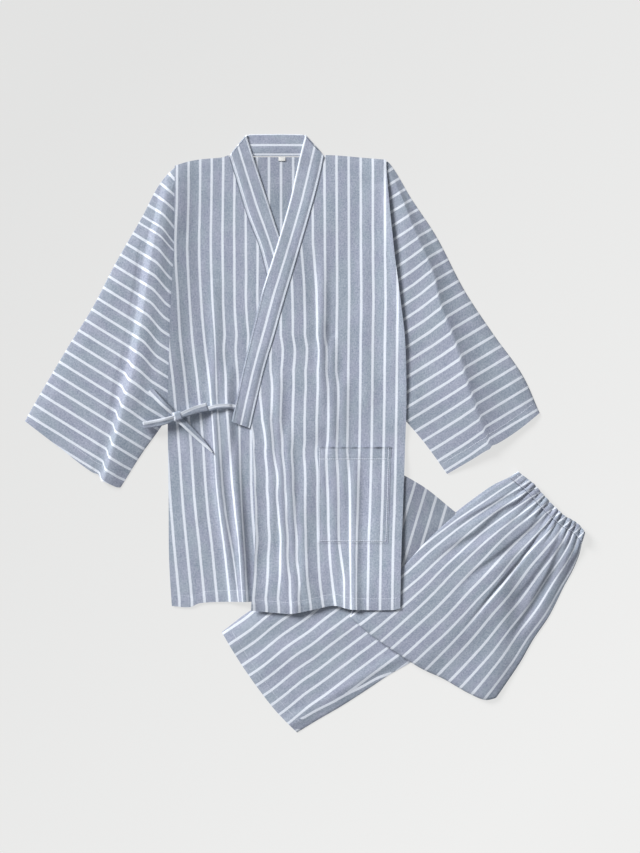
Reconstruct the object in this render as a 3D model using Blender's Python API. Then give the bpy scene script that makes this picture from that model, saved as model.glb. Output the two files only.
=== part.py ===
"""Jinbei set laid flat: a wrap jacket with a tied bow, and short trousers folded partly under it.

The floor is z = 0.  The jacket's neck points along +Y and its front faces +Z.
"""

import math
from collections import namedtuple

import bmesh
import bpy
from mathutils import Vector

# Lengths in this file are millimetres; MM turns them into the metres that Blender uses.
MM = 0.001

# Cloth walls and the air left between them.
SEAM = 0.3
CURVED_SEAM = 0.8
LAYER_AIR = 0.5
BODY_WALL = 1.4
SLEEVE_WALL = 1.2
SLEEVE_SLIT = 0.5
LEG_WALL = 1.2
LEG_SLIT = 0.6
COLLAR_WALL = 2.5
POCKET_WALL = 1.2
LABEL_WALL = 1.0
TIE_WALL = 1.6

SLEEVE_THICK = 2 * SLEEVE_WALL + SLEEVE_SLIT
LEG_THICK = 2 * LEG_WALL + LEG_SLIT
LEG_STEP = LEG_THICK + LAYER_AIR
SLEEVE_STEP = SLEEVE_THICK + LAYER_AIR
BODY_STEP = BODY_WALL + LAYER_AIR
COLLAR_STEP = COLLAR_WALL + LAYER_AIR

# How far a raised layer keeps its height past what it covers, and how long it takes to come down.
LEG_MARGIN = 12.0
LEG_RAMP = 42.0
LAYER_MARGIN = 13.0
LAYER_RAMP = 24.0
LAYER_SPREAD = 10.0
TUCK_BELOW = 20.0
SLEEVE_RAISED = 10.0
SLEEVE_RAMP = 35.0

# Jacket sections, from the shoulder down.
Section = namedtuple("Section", "y left right")
BODY = (
    Section(487, -228, 142),
    Section(468, -228, 142.5),
    Section(407, -228.5, 147),
    Section(319, -229.5, 156),
    Section(232, -234.5, 167),
    Section(162, -237, 175),
    Section(57, -240, 177.5),
    Section(-31, -240, 175),
    Section(-118, -239, 172),
    Section(-223, -238, 168),
    Section(-318, -232.5, 166),
)

# Heights along X: the shoulder line and the two front hems.
Edge = namedtuple("Edge", "x y")
SHOULDER = (
    Edge(-229, 467), Edge(-206, 474.5), Edge(-184, 478.5), Edge(-145, 482), Edge(-133, 485.5),
    Edge(34, 486), Edge(60, 485), Edge(143, 477.5),
)
LEFT_HEM = (
    Edge(-96, -311.5), Edge(-46, -316), Edge(-24, -317), Edge(14, -310), Edge(50, -303),
    Edge(79, -309), Edge(154, -310), Edge(167, -307),
)
RIGHT_HEM = (Edge(-233, -304), Edge(-196, -306), Edge(-175, -299), Edge(-115, -296.5), Edge(4, -296))
BACK_HEM_Y = -294.0
BACK_INSET = 1.5
BACK_TOP_INSET = 1.3
BACK_CELLS = (15, 28)

# Collar band, both sides of the neck: y of its neck edge and sewn edge, then their x on each side.
Band = namedtuple("Band", "y_in y_out left_in left_out right_in right_out")
COLLAR = (
    Band(522, 485.5, 1, 34, -103, -133),
    Band(484, 456, -9, 28, -91, -124),
    Band(446, 417, -17.5, 18.5, -78.5, -112.5),
    Band(408, 380, -26, 8, -66, -101),
    Band(345, 325, -44, -8, -45.5, -79.5),
    Band(291, 272, -61, -23.5, -27, -65.5),
    Band(246, 227, -75, -37, -13, -52),
    Band(179, 167, -92, -54, 3.5, -35),
    Band(127, 118, -105, -69, 16, -20),
    Band(74, 66, -117, -82, 27, -8),
    Band(19, 7, -128.5, -95.5, 37.5, 4),
)
NECK_SEAM_Y = 484.0
NECK_CELLS = 5

# Front edge of the lapping front below the collar, and of the front under it.
LEFT_EDGE = (Edge(-95, 7), Edge(-91.5, -30), Edge(-88.5, -118), Edge(-87.5, -205),
             Edge(-93, -318))
RIGHT_EDGE_X = 3.0

# Cells of the fronts: across what shows, across what is hidden, and down.
HIDDEN_FROM = 0.8
RIGHT_FRONT_CELLS = (14, 3, 27)
LEFT_FRONT_CELLS = (9, 10, 3, 28)

# Folds in the fronts: the crest runs from the first point to the second.
Fold = namedtuple("Fold", "x0 y0 x1 y1 width high0 high1")
RIGHT_FOLDS = (
    Fold(-156, 230, -159, 57, 24, 1.0, 3.0),
    Fold(-159, 57, -147, -118, 24, 3.0, 4.0),
    Fold(-147, -118, -124, -306, 26, 4.0, 2.5),
    Fold(-135, 10, -112, -200, 20, 0.5, 3.5),
    Fold(-112, -200, -110, -306, 20, 3.5, 3.0),
    Fold(-205, -100, -180, -306, 44, 0.5, 2.5),
)
LEFT_FOLDS = (
    Fold(22, 290, 30, 127, 26, 1.0, 2.0),
    Fold(68, 140, 70, -10, 26, 2.0, 1.5),
    Fold(86, -40, 84, -310, 28, 2.5, 4.0),
    Fold(-26, 10, -26, -290, 24, 2.0, 3.0),
    Fold(-46, -20, -42, -180, 22, 2.0, 1.5),
    Fold(-61, 60, -58, -70, 24, 1.5, 2.5),
)
FOLD_FADE = 40.0

# Pocket edges on the lapping front: shares of its width, heights, and rows of its grid.
POCKET_SIDES = (0.425, 0.907)
POCKET_Y = (-25.5, -194.5)
POCKET_ROWS = (17, 23)

# Neck label, blank.
LABEL = {"x": -40.2, "y": 478.5, "wide": 14.0, "tall": 7.5}

# Sleeves: outlines from the armhole to the cuff, along the upper fold and the underarm, then the cuff.
LEFT_SLEEVE_TOP = (Edge(-216, 462), Edge(-227, 465), Edge(-256, 433.5), Edge(-286, 377),
                   Edge(-332, 297), Edge(-373.5, 217), Edge(-411.5, 156.5), Edge(-461, 73),
                   Edge(-490, 22))
LEFT_SLEEVE_UNDER = (Edge(-224, 40), Edge(-240.5, 27.5), Edge(-256, 4.5), Edge(-286, -37),
                     Edge(-322, -94))
LEFT_CUFF = (Edge(-490, 22), Edge(-411.5, -41), Edge(-363, -75), Edge(-322, -94))
RIGHT_SLEEVE_TOP = (Edge(131, 470), Edge(145, 473), Edge(185.5, 407), Edge(227.5, 342),
                    Edge(276.5, 247.5), Edge(326.5, 172.5), Edge(379.5, 99.5), Edge(410, 36))
RIGHT_SLEEVE_UNDER = (Edge(163, 32), Edge(178.5, 18), Edge(212.5, -22), Edge(251, -75.5))
RIGHT_CUFF = (Edge(410, 36), Edge(379.5, 12), Edge(326.5, -25.5), Edge(251, -75.5))

# A flattened tube's side is rounded over the share NOSE; its hollow starts at the share HOLLOW.
SLEEVE_NOSE = 0.012
SLEEVE_HOLLOW = 0.009
SLEEVE_CELLS = (11, 4, 8)
SLEEVE_HEAD = 0.14

# Ridges along a sleeve: share of the way from upper fold to underarm, at the armhole and the cuff.
Ridge = namedtuple("Ridge", "across0 across1 along0 along1 width high0 high1")
LEFT_SLEEVE_RIDGES = (
    Ridge(0.34, 0.74, 0.25, 1.00, 0.20, 3.0, 3.5),
    Ridge(0.10, 0.16, 0.40, 0.95, 0.20, 1.0, 2.0),
)
RIGHT_SLEEVE_RIDGES = (
    Ridge(0.18, 0.48, 0.25, 1.00, 0.20, 3.0, 3.5),
    Ridge(0.68, 0.80, 0.40, 0.90, 0.22, 1.5, 2.0),
)
RIDGE_INNER_SHARE = 0.6
RIDGE_FADE = 0.12

# Trouser grids: cells across, then down the leg, and down the turned-under end.
LEG_NOSE = 0.011
LEG_HOLLOW = 0.008
RIGHT_LEG_CELLS = (10, 12)
RIGHT_LEG_HOLLOW_ROWS = (8, 12)
LEFT_LEG_CELLS = (18, 14, 7)
LEFT_LEG_HOLLOW_CELLS = 2
FOLD_START = 0.985
FOLD_END = 1.02
FOLD_FACING = 0.9

# Trousers.  The left leg is on top; its hem end is turned under along the bottom fold.
WAIST_TOP = (Edge(373, -67.5), Edge(400, -90), Edge(428, -121), Edge(453, -144.5),
             Edge(478, -160), Edge(490.5, -176.5))
WAIST_DEEP = 19.0
WAIST_SEAM = 0.6
HIDDEN_WAIST_SEAM = 3.0
WAIST_DIRECTIONS = ((-0.82, -0.57), (-0.30, -0.95))
WAIST_GATHERS = 15
GATHER_HIGH = 1.6
WAIST_END = 0.97
WAIST_FACING = 0.9
WAIST_ROWS = (0.0, 0.5, 1.0)
WAIST_LINE_CELLS = 16
WAIST_LOWER_SHARES = (0.85, 0.7, 0.55, 0.4, 0.25, 0.1)
LEFT_LEG_OUTER = (Edge(357.2, -78.6), Edge(330, -95.5), Edge(283, -129), Edge(260.5, -146),
                  Edge(232.5, -171), Edge(204.5, -198.5), Edge(168.5, -238), Edge(77, -323))
LEFT_LEG_INNER = (Edge(484.8, -195), Edge(475.5, -215.5), Edge(472.5, -243.5), Edge(455.5, -271.5),
                  Edge(428, -321.5), Edge(400, -363), Edge(377.5, -402.5), Edge(355, -436),
                  Edge(334, -466))
LEFT_LEG_FOLD = (Edge(77, -323), Edge(125.5, -360.5), Edge(169.5, -390), Edge(207.5, -414),
                 Edge(243, -430.5), Edge(288, -456), Edge(316, -468), Edge(334, -466))
TURNED_OUTER = (Edge(77, -323), Edge(130, -190), Edge(165, -70))
TURNED_INNER = (Edge(334, -466), Edge(350, -330), Edge(347, -203))
TURNED_HEM = (Edge(165, -70), Edge(212, -98), Edge(264, -140), Edge(347, -203))
RIGHT_LEG_OUTER = (Edge(357, -76.5), Edge(328, -93), Edge(281, -127), Edge(258, -144),
                   Edge(150, -199), Edge(0, -268), Edge(-90, -310.5), Edge(-143, -350))
RIGHT_LEG_INNER = (Edge(484.5, -196), Edge(330, -300), Edge(185, -401), Edge(144.5, -420),
                   Edge(107, -445), Edge(66, -473.5), Edge(19, -498), Edge(-12, -524))
RIGHT_CUFF_LEG = (Edge(-143, -350), Edge(-105.5, -407.5), Edge(-52.5, -479.5), Edge(-12, -524))
LEG_RIDGES = (
    Ridge(0.14, 0.16, 0.00, 0.60, 0.09, 3.0, 1.0),
    Ridge(0.33, 0.30, 0.00, 0.55, 0.10, 3.5, 1.0),
    Ridge(0.52, 0.50, 0.00, 0.70, 0.10, 3.5, 1.5),
    Ridge(0.70, 0.70, 0.00, 0.75, 0.09, 4.5, 2.0),
    Ridge(0.88, 0.84, 0.00, 0.80, 0.10, 4.0, 2.0),
)
RIGHT_LEG_RIDGES = (Ridge(0.86, 0.84, 0.74, 1.00, 0.20, 1.5, 2.0),)

# The bow at the left side of the body: centre lines, from the knot out, and half widths.
Tie = namedtuple("Tie", "name x0 y0 x1 y1 bend half0 half1 is_loop")
KNOT = {"x": -226.5, "y": 28.5, "wide": 15.0, "tall": 18.0, "high": 7.0}
TIES = (
    Tie("tie_loop_left", -234.7, 26.2, -281.0, 11.5, 0.0, 6.0, 7.0, True),
    Tie("tie_loop_right", -217.5, 29.5, -171.0, 44.5, 0.0, 6.0, 7.0, True),
    Tie("tie_tail_upper", -233.0, 38.5, -268.0, 74.0, 1.0, 4.0, 5.5, False),
    Tie("tie_tail_lower", -219.5, 18.5, -162.5, -33.0, 3.0, 6.0, 4.5, False),
    Tie("tie_strap", -169.0, 46.5, -124.5, 49.5, 5.0, 4.5, 4.5, False),
)
TIE_CLEAR = 0.9
TIE_PROBE = 7.0
TIE_CELLS = 6
LOOP_TURN = 0.94
KNOT_SIDES = 12
KNOT_LEVELS = ((-0.5, 0.62), (-0.3, 1.0), (0.25, 1.0), (0.5, 0.6))
KNOT_SQUARENESS = 0.6

# Grid sizes.
COLLAR_SHARES = (0.0, 0.06, 0.5, 0.94, 1.0)
TIE_SHARES = (0.0, 0.12, 0.5, 0.88, 1.0)
TURN_ANGLES = (0, 45, 90, 135, 180)

COTTON = (0.335, 0.385, 0.475)
COTTON_DARK = (0.30, 0.35, 0.44)
LABEL_WHITE = (0.80, 0.80, 0.78)


# ---------------------------------------------------------------- numbers and curves

def lerp(a, b, share):
    return a + (b - a) * share


def smooth(share):
    share = min(max(share, 0.0), 1.0)
    return share * share * (3.0 - 2.0 * share)


def bell(offset, width):
    share = min(abs(offset) / (0.5 * width), 1.0)
    return 0.5 + 0.5 * math.cos(math.pi * share)


def spaced(count, start=0.0, end=1.0):
    return [lerp(start, end, i / count) for i in range(count + 1)]


def hermite(t, before, here, there, after):
    """Curve through here (t = 0) and there (t = 1); each knot is (parameter, value)."""
    span = there[0] - here[0]
    slope_here = (there[1] - before[1]) / (there[0] - before[0])
    slope_there = (after[1] - here[1]) / (after[0] - here[0])
    t2 = t * t
    t3 = t2 * t
    return ((2 * t3 - 3 * t2 + 1) * here[1] + (t3 - 2 * t2 + t) * span * slope_here
            + (3 * t2 - 2 * t3) * there[1] + (t3 - t2) * span * slope_there)


def through(knots, parameter):
    """Value at the parameter of a smooth curve through the (parameter, value) knots."""
    last = len(knots) - 1
    i = 0
    while i < last - 1 and parameter > knots[i + 1][0]:
        i += 1
    here = knots[i]
    there = knots[i + 1]
    t = min(max((parameter - here[0]) / (there[0] - here[0]), 0.0), 1.0)
    return hermite(t, knots[max(i - 1, 0)], here, there, knots[min(i + 2, last)])


def column(rows, key, value):
    return sorted((getattr(row, key), getattr(row, value)) for row in rows)


def outline_point(points, share):
    """Point at a share of the length of the smooth line through the points."""
    lengths = [0.0]
    for a, b in zip(points, points[1:]):
        lengths.append(lengths[-1] + math.hypot(b.x - a.x, b.y - a.y))
    parameter = share * lengths[-1]
    x = through([(s, p.x) for s, p in zip(lengths, points)], parameter)
    y = through([(s, p.y) for s, p in zip(lengths, points)], parameter)
    return Vector((x, y, 0.0))


def patch(start, end, first, second, across, along):
    """Coons patch: start and end run across, first and second run along its two sides."""
    side_a = outline_point(first, along)
    side_b = outline_point(second, along)
    edge_a = outline_point(start, across)
    edge_b = outline_point(end, across)
    ruled = side_a.lerp(side_b, across) + edge_a.lerp(edge_b, along)
    corners_a = outline_point(first, 0.0).lerp(outline_point(second, 0.0), across)
    corners_b = outline_point(first, 1.0).lerp(outline_point(second, 1.0), across)
    return ruled - corners_a.lerp(corners_b, along)


def beyond(x, y, corners):
    """Distance outside a closed outline; nothing inside it."""
    nearest = float("inf")
    inside = False
    count = len(corners)
    for i in range(count):
        ax, ay = corners[i]
        bx, by = corners[(i + 1) % count]
        if (ay > y) != (by > y) and x < (bx - ax) * (y - ay) / (by - ay) + ax:
            inside = not inside
        span = (bx - ax) ** 2 + (by - ay) ** 2
        t = 0.0 if span == 0 else ((x - ax) * (bx - ax) + (y - ay) * (by - ay)) / span
        t = min(max(t, 0.0), 1.0)
        nearest = min(nearest, math.hypot(x - lerp(ax, bx, t), y - lerp(ay, by, t)))
    return 0.0 if inside else nearest


def cover(x, y, corners, margin, ramp):
    """One over an outline and its margin, easing to nothing across the ramp."""
    return 1.0 - smooth((beyond(x, y, corners) - margin) / ramp)


# ---------------------------------------------------------------- what lies under what

def closed(*lines):
    return [(point.x, point.y) for line in lines for point in line]


RIGHT_LEG_OUTLINE = closed(RIGHT_LEG_OUTER, reversed(RIGHT_LEG_INNER))
TURNED_OUTLINE = closed(TURNED_OUTER, reversed(TURNED_INNER))
LEFT_LEG_OUTLINE = closed(LEFT_LEG_OUTER, reversed(LEFT_LEG_INNER))
NECK_OUTLINE = [(-133, 485), (-103, 522), (1, 522), (34, 485)]
RIGHT_BAND_OUTLINE = ([(row.right_out, row.y_out) for row in COLLAR]
                      + [(row.right_in, row.y_in) for row in reversed(COLLAR)])
RIGHT_FRONT_OUTLINE = ([(-229, 467)] + [(row.right_out, row.y_out) for row in COLLAR]
                       + [(RIGHT_EDGE_X, -296), (-233, -304)])
LEFT_TUCK_OUTLINE = [(-250, 470), (-250, TUCK_BELOW), (-224, TUCK_BELOW), (-214, 470)]
RIGHT_TUCK_OUTLINE = [(190, 475), (190, TUCK_BELOW), (163, TUCK_BELOW), (130, 475)]


# Each layer starts to rise a little farther out than the one it lies on, by LAYER_SPREAD.

def under_turned(x, y, spread=0.0):
    return LEG_STEP * cover(x, y, RIGHT_LEG_OUTLINE, LEG_MARGIN + spread, LEG_RAMP)


def under_left_leg(x, y, spread=0.0):
    turned = cover(x, y, TURNED_OUTLINE, LEG_MARGIN + spread, LEG_RAMP)
    return under_turned(x, y, spread + LAYER_SPREAD) + LEG_STEP * turned


def under_jacket(x, y, spread=0.0):
    leg = cover(x, y, LEFT_LEG_OUTLINE, LEG_MARGIN + spread, LEG_RAMP)
    return under_left_leg(x, y, spread + LAYER_SPREAD) + LEG_STEP * leg


def under_right_front(x, y, spread=0.0):
    margin = LAYER_MARGIN + spread
    tuck = max(cover(x, y, LEFT_TUCK_OUTLINE, margin, LAYER_RAMP),
               cover(x, y, RIGHT_TUCK_OUTLINE, margin, LAYER_RAMP))
    return under_jacket(x, y, spread + LAYER_SPREAD) + BODY_STEP + SLEEVE_STEP * tuck


def under_left_front(x, y):
    front = BODY_STEP * cover(x, y, RIGHT_FRONT_OUTLINE, LAYER_MARGIN, LAYER_RAMP)
    band = COLLAR_STEP * cover(x, y, RIGHT_BAND_OUTLINE, LAYER_MARGIN, LAYER_RAMP)
    return under_right_front(x, y, LAYER_SPREAD) + max(front, band)


def under_band_at_neck(x, y):
    return COLLAR_STEP * cover(x, y, NECK_OUTLINE, LAYER_MARGIN, LAYER_RAMP)


def fold_height(x, y, folds):
    """Rise of the cloth over its folds at a point."""
    rise = 0.0
    for fold in folds:
        share = (fold.y0 - y) / (fold.y0 - fold.y1)
        past = max(y - fold.y0, fold.y1 - y, 0.0)
        crest = lerp(fold.x0, fold.x1, min(max(share, 0.0), 1.0))
        high = lerp(fold.high0, fold.high1, min(max(share, 0.0), 1.0))
        high *= 1.0 - smooth(past / FOLD_FADE)
        rise = max(rise, high * bell(x - crest, fold.width))
    return rise


def ridge_height(across, along, ridges):
    """Rise over ridges that run the length of a sleeve or leg."""
    rise = 0.0
    for ridge in ridges:
        share = (along - ridge.along0) / (ridge.along1 - ridge.along0)
        inside = min(max(share, 0.0), 1.0)
        past = abs(share - inside) * (ridge.along1 - ridge.along0)
        fade = 1.0 - smooth(past / RIDGE_FADE)
        crest = lerp(ridge.across0, ridge.across1, inside)
        high = lerp(ridge.high0, ridge.high1, inside) * fade
        rise = max(rise, high * bell(across - crest, ridge.width))
    return rise


# ---------------------------------------------------------------- mesh building

def material_for(name, colour):
    material = bpy.data.materials.new(name)
    material.use_nodes = True
    shader = material.node_tree.nodes["Principled BSDF"]
    shader.inputs["Base Color"].default_value = (*colour, 1.0)
    shader.inputs["Roughness"].default_value = 0.85
    shader.inputs["Metallic"].default_value = 0.0
    return material


def add_solid(name, points, faces, colour):
    """One closed body from points in millimetres; its faces are turned outward."""
    mesh = bpy.data.meshes.new(name)
    mesh.from_pydata([tuple(point * MM) for point in points], [], faces)
    body = bmesh.new()
    body.from_mesh(mesh)
    bmesh.ops.recalc_face_normals(body, faces=body.faces)
    body.to_mesh(mesh)
    body.free()
    mesh.materials.append(material_for(name, colour))
    solid = bpy.data.objects.new(name, mesh)
    bpy.context.collection.objects.link(solid)
    return solid


def strip(first, second, backward=False):
    """Triangles between two equal rows of point numbers, all split the same way."""
    faces = []
    for a, b, c, d in zip(first, first[1:], second[1:], second):
        faces += [(a, b, d), (b, c, d)] if backward else [(a, b, c), (a, c, d)]
    return faces


def band_faces(first, second):
    """Triangles between two flattened rings; both of their layers are split alike."""
    half = len(first) // 2
    first = first + first[:1]
    second = second + second[:1]
    return (strip(first[:half + 1], second[:half + 1])
            + strip(first[half:], second[half:], backward=True))


def sheet(name, upper, lower, colour):
    """Cloth wall between two grids of points, each a list of rows."""
    rows = len(upper)
    columns = len(upper[0])
    points = [point for row in upper for point in row]
    base = len(points)
    points += [point for row in lower for point in row]
    top = [[r * columns + c for c in range(columns)] for r in range(rows)]
    under = [[base + number for number in row] for row in top]
    faces = []
    for r in range(rows - 1):
        faces += strip(top[r], top[r + 1])
        faces += strip(under[r], under[r + 1])
    for rim_top, rim_under in (
            (top[0], under[0]), (top[-1], under[-1]),
            ([row[0] for row in top], [row[0] for row in under]),
            ([row[-1] for row in top], [row[-1] for row in under])):
        faces += strip(rim_top, rim_under)
    return add_solid(name, points, faces, colour)


def ring_points(middle, shares, row, inner):
    """Points round a flattened tube at one row, with a rounded nose at each side."""
    upper = []
    lower = []
    noses = []
    for number, share in enumerate(shares):
        point, normal, (up_out, up_in, down_in, down_out) = middle(share, row)
        if number in (0, len(shares) - 1):
            noses.append(point)
            continue
        upper.append(point + normal * (up_in if inner else up_out))
        lower.append(point + normal * (down_in if inner else down_out))
    return [noses[0]] + upper + [noses[1]] + lower[::-1]


def cap(ring):
    """Triangles that close a flattened ring of point numbers."""
    half = len(ring) // 2
    upper = ring[1:half]
    lower = ring[:half:-1]
    return ([(ring[0], upper[0], lower[0]), (ring[half], lower[-1], upper[-1])]
            + strip(upper, lower))


def tube(name, middle, shares, rows, colour, slit=None, hollow_ends=None):
    """Flattened tube through rows; slit = (first, last) row numbers that are hollow."""
    points = []
    rings = []
    for row in rows:
        ring = ring_points(middle, shares, row, False)
        rings.append(list(range(len(points), len(points) + len(ring))))
        points += ring
    faces = []
    for first, second in zip(rings, rings[1:]):
        faces += band_faces(first, second)
    hollow = []
    if slit:
        inner_shares = [hollow_ends[0]] + list(shares[1:-1]) + [hollow_ends[1]]
        for row in rows[slit[0]:slit[1] + 1]:
            ring = ring_points(middle, inner_shares, row, True)
            hollow.append(list(range(len(points), len(points) + len(ring))))
            points += ring
        for first, second in zip(hollow, hollow[1:]):
            faces += band_faces(first, second)
    for end, outer in ((0, rings[0]), (len(rows) - 1, rings[-1])):
        if slit and end in slit:
            inner = hollow[0] if end == slit[0] else hollow[-1]
            faces += strip(outer + outer[:1], inner + inner[:1])
        else:
            faces += cap(outer)
    if slit:
        if slit[0] != 0:
            faces += cap(hollow[0])
        if slit[1] != len(rows) - 1:
            faces += cap(hollow[-1])
    return add_solid(name, points, faces, colour)


def flat_profile(thick, slit=0.0, rise=0.0, inner_rise=0.0):
    """Distances of a flat tube's four surfaces from its middle, from the top down."""
    return (0.5 * thick + rise, 0.5 * slit + inner_rise, -0.5 * slit, -0.5 * thick)


# ---------------------------------------------------------------- jacket panels

def body_left(y):
    return through(column(BODY, "y", "left"), y)


def body_right(y):
    return through(column(BODY, "y", "right"), y)


def along_x(edges, x):
    return through([(edge.x, edge.y) for edge in edges], x)


def left_front_edge(y):
    """Sewn edge of the lapping front: the collar seam, then its plain front edge."""
    if y < LEFT_EDGE[0].y:
        return through(column(LEFT_EDGE, "y", "x"), y)
    return through(column(COLLAR, "y_out", "left_out"), y) + CURVED_SEAM


def right_front_edge(y):
    if y < COLLAR[-1].y_out:
        return RIGHT_EDGE_X
    return through(column(COLLAR, "y_out", "right_out"), y) - CURVED_SEAM


def seen_share(y):
    """Share of the under front that shows beside the lapping front."""
    left = body_left(y)
    right = right_front_edge(y)
    shown = (left_front_edge(y) - left) / (right - left)
    return min(shown, HIDDEN_FROM)


def panel(columns, rows, x_at, y_at, lift_at, wall):
    """Grids of upper and lower points of a panel that follows a height field."""
    upper = []
    lower = []
    for row in rows:
        upper_row = []
        lower_row = []
        for share in columns:
            y = y_at(share, row)
            x = x_at(share, y)
            base, rise = lift_at(x, y)
            lower_row.append(Vector((x, y, base + rise)))
            upper_row.append(Vector((x, y, base + rise + wall)))
        upper.append(upper_row)
        lower.append(lower_row)
    return upper, lower


def make_back():
    """The back lies on the floor and on the trousers; its top is cut along the neck seam."""
    def x_at(share, y):
        return lerp(body_left(y) + BACK_INSET, body_right(y) - BACK_INSET, share)

    def y_at(share, row):
        x = lerp(SHOULDER[0].x, SHOULDER[-1].x, share)
        return lerp(min(along_x(SHOULDER, x), NECK_SEAM_Y) - BACK_TOP_INSET, BACK_HEM_Y, row)

    def lift_at(x, y):
        return under_jacket(x, y), 0.0

    across, down = BACK_CELLS
    upper, lower = panel(spaced(across), spaced(down), x_at, y_at, lift_at, BODY_WALL)
    sheet("jacket_back", upper, lower, COTTON_DARK)


def make_right_front():
    """The front that goes under: its hidden part runs on beneath the lapping front."""
    def x_at(share, y):
        seen = seen_share(y)
        if share <= HIDDEN_FROM:
            width = lerp(0.0, seen, share / HIDDEN_FROM)
        else:
            width = lerp(seen, 1.0, (share - HIDDEN_FROM) / (1.0 - HIDDEN_FROM))
        return lerp(body_left(y), right_front_edge(y), width)

    def y_at(share, row):
        x_top = lerp(SHOULDER[0].x, COLLAR[0].right_out, share)
        x_hem = lerp(RIGHT_HEM[0].x, RIGHT_HEM[-1].x, share)
        return lerp(along_x(SHOULDER, x_top), along_x(RIGHT_HEM, x_hem), row)

    def lift_at(x, y):
        return under_right_front(x, y), fold_height(x, y, RIGHT_FOLDS)

    shown, hidden, down = RIGHT_FRONT_CELLS
    columns = spaced(shown, 0.0, HIDDEN_FROM) + spaced(hidden, HIDDEN_FROM, 1.0)[1:]
    upper, lower = panel(columns, spaced(down), x_at, y_at, lift_at, BODY_WALL)
    sheet("jacket_front_right", upper, lower, COTTON)


def make_left_front():
    """The lapping front, with the patch pocket made from its own points moved out."""
    before, on_pocket, after, down = LEFT_FRONT_CELLS
    columns = (spaced(before, 0.0, POCKET_SIDES[0]) + spaced(on_pocket, *POCKET_SIDES)[1:]
               + spaced(after, POCKET_SIDES[1], 1.0)[1:])
    first_row, last_row = POCKET_ROWS

    def x_at(share, y):
        return lerp(left_front_edge(y), body_right(y), share)

    def y_at(share, row):
        top = along_x(SHOULDER, lerp(COLLAR[0].left_out, SHOULDER[-1].x, share))
        hem = along_x(LEFT_HEM, lerp(LEFT_HEM[0].x, LEFT_HEM[-1].x, share))
        if row <= first_row:
            return lerp(top, POCKET_Y[0], row / first_row)
        if row <= last_row:
            return lerp(*POCKET_Y, (row - first_row) / (last_row - first_row))
        return lerp(POCKET_Y[1], hem, (row - last_row) / (down - last_row))

    def lift_at(x, y):
        return under_left_front(x, y), fold_height(x, y, LEFT_FOLDS)

    upper, lower = panel(columns, range(down + 1), x_at, y_at, lift_at, BODY_WALL)
    sheet("jacket_front_left", upper, lower, COTTON)

    first = columns.index(POCKET_SIDES[0])
    last = columns.index(POCKET_SIDES[1])
    out = Vector((0, 0, SEAM))
    wall = Vector((0, 0, POCKET_WALL))
    patch_rows = [row[first:last + 1] for row in upper[first_row:last_row + 1]]
    pocket_lower = [[point + out for point in row] for row in patch_rows]
    pocket_upper = [[point + wall for point in row] for row in pocket_lower]
    sheet("pocket", pocket_upper, pocket_lower, COTTON)


def make_label():
    x0 = LABEL["x"] - 0.5 * LABEL["wide"]
    y0 = LABEL["y"] - LABEL["tall"]
    base = BODY_WALL + SEAM
    lower = [[Vector((x0 + c * LABEL["wide"], y0 + r * LABEL["tall"], base)) for c in (0, 1)]
             for r in (0, 1)]
    upper = [[point + Vector((0, 0, LABEL_WALL)) for point in row] for row in lower]
    sheet("neck_label", upper, lower, LABEL_WHITE)


# ---------------------------------------------------------------- collar

Station = namedtuple("Station", "outer inner normal")


def band_station(side, step):
    """A place on one front of the band; step counts the rows of COLLAR and may be between them."""
    steps = range(len(COLLAR))

    def value(name):
        return through([(i, getattr(COLLAR[i], name)) for i in steps], step)

    ends = []
    for edge in ("out", "in"):
        x = value(side + "_" + edge)
        y = value("y_" + edge)
        if side == "left":
            base = under_left_front(x, y)
        else:
            base = under_right_front(x, y)
        base = max(base, under_band_at_neck(x, y))
        ends.append(Vector((x, y, base + 0.5 * COLLAR_WALL)))
    return Station(ends[0], ends[1], Vector((0, 0, 1)))


def turn_stations(side):
    """The band turning over at the shoulder, from the front band down to the neck band."""
    row = COLLAR[0]
    outer = Vector((getattr(row, side + "_out"), row.y_out, 0))
    inner = Vector((getattr(row, side + "_in"), row.y_in, 0))
    run = (inner - outer).normalized()
    out = Vector((-run.y, run.x, 0)) if side == "right" else Vector((run.y, -run.x, 0))
    if out.y < 0:
        out = -out
    radius = 0.5 * COLLAR_STEP
    stations = []
    for angle in TURN_ANGLES:
        turn = math.radians(angle)
        shift = out * (radius * math.sin(turn) - radius - 0.5 * COLLAR_WALL)
        lift = Vector((0, 0, radius + 0.5 * COLLAR_WALL + radius * math.cos(turn)))
        normal = Vector((0, 0, math.cos(turn))) + out * math.sin(turn)
        stations.append(Station(outer + shift + lift, inner + shift + lift, normal))
    return stations


def neck_stations():
    """The band across the back of the neck, between the two turns."""
    row = COLLAR[0]
    z = 0.5 * COLLAR_WALL
    stations = []
    for share in spaced(NECK_CELLS)[1:-1]:
        outer = Vector((lerp(row.right_out, row.left_out, share), NECK_SEAM_Y + SEAM, z))
        inner = Vector((lerp(row.right_in, row.left_in, share), row.y_in, z))
        stations.append(Station(outer, inner, Vector((0, 0, -1))))
    return stations


def make_collar():
    """One band: up the under front, across the neck, and down the lapping front."""
    last = len(COLLAR) - 1
    steps = spaced(2 * last, 0.0, last)[1:]
    stations = [band_station("right", step) for step in reversed(steps)]
    stations += turn_stations("right")
    stations += neck_stations()
    stations += reversed(turn_stations("left"))
    stations += [band_station("left", step) for step in steps]

    def middle(share, station):
        return station.outer.lerp(station.inner, share), station.normal, flat_profile(COLLAR_WALL)

    tube("collar", middle, COLLAR_SHARES, stations, COTTON)


# ---------------------------------------------------------------- sleeves

def sleeve_lift(inside):
    """A sleeve rises onto the back; inside counts from the body's edge inward."""
    return BODY_STEP * smooth((inside + SLEEVE_RAISED + SLEEVE_RAMP) / SLEEVE_RAMP)


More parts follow.
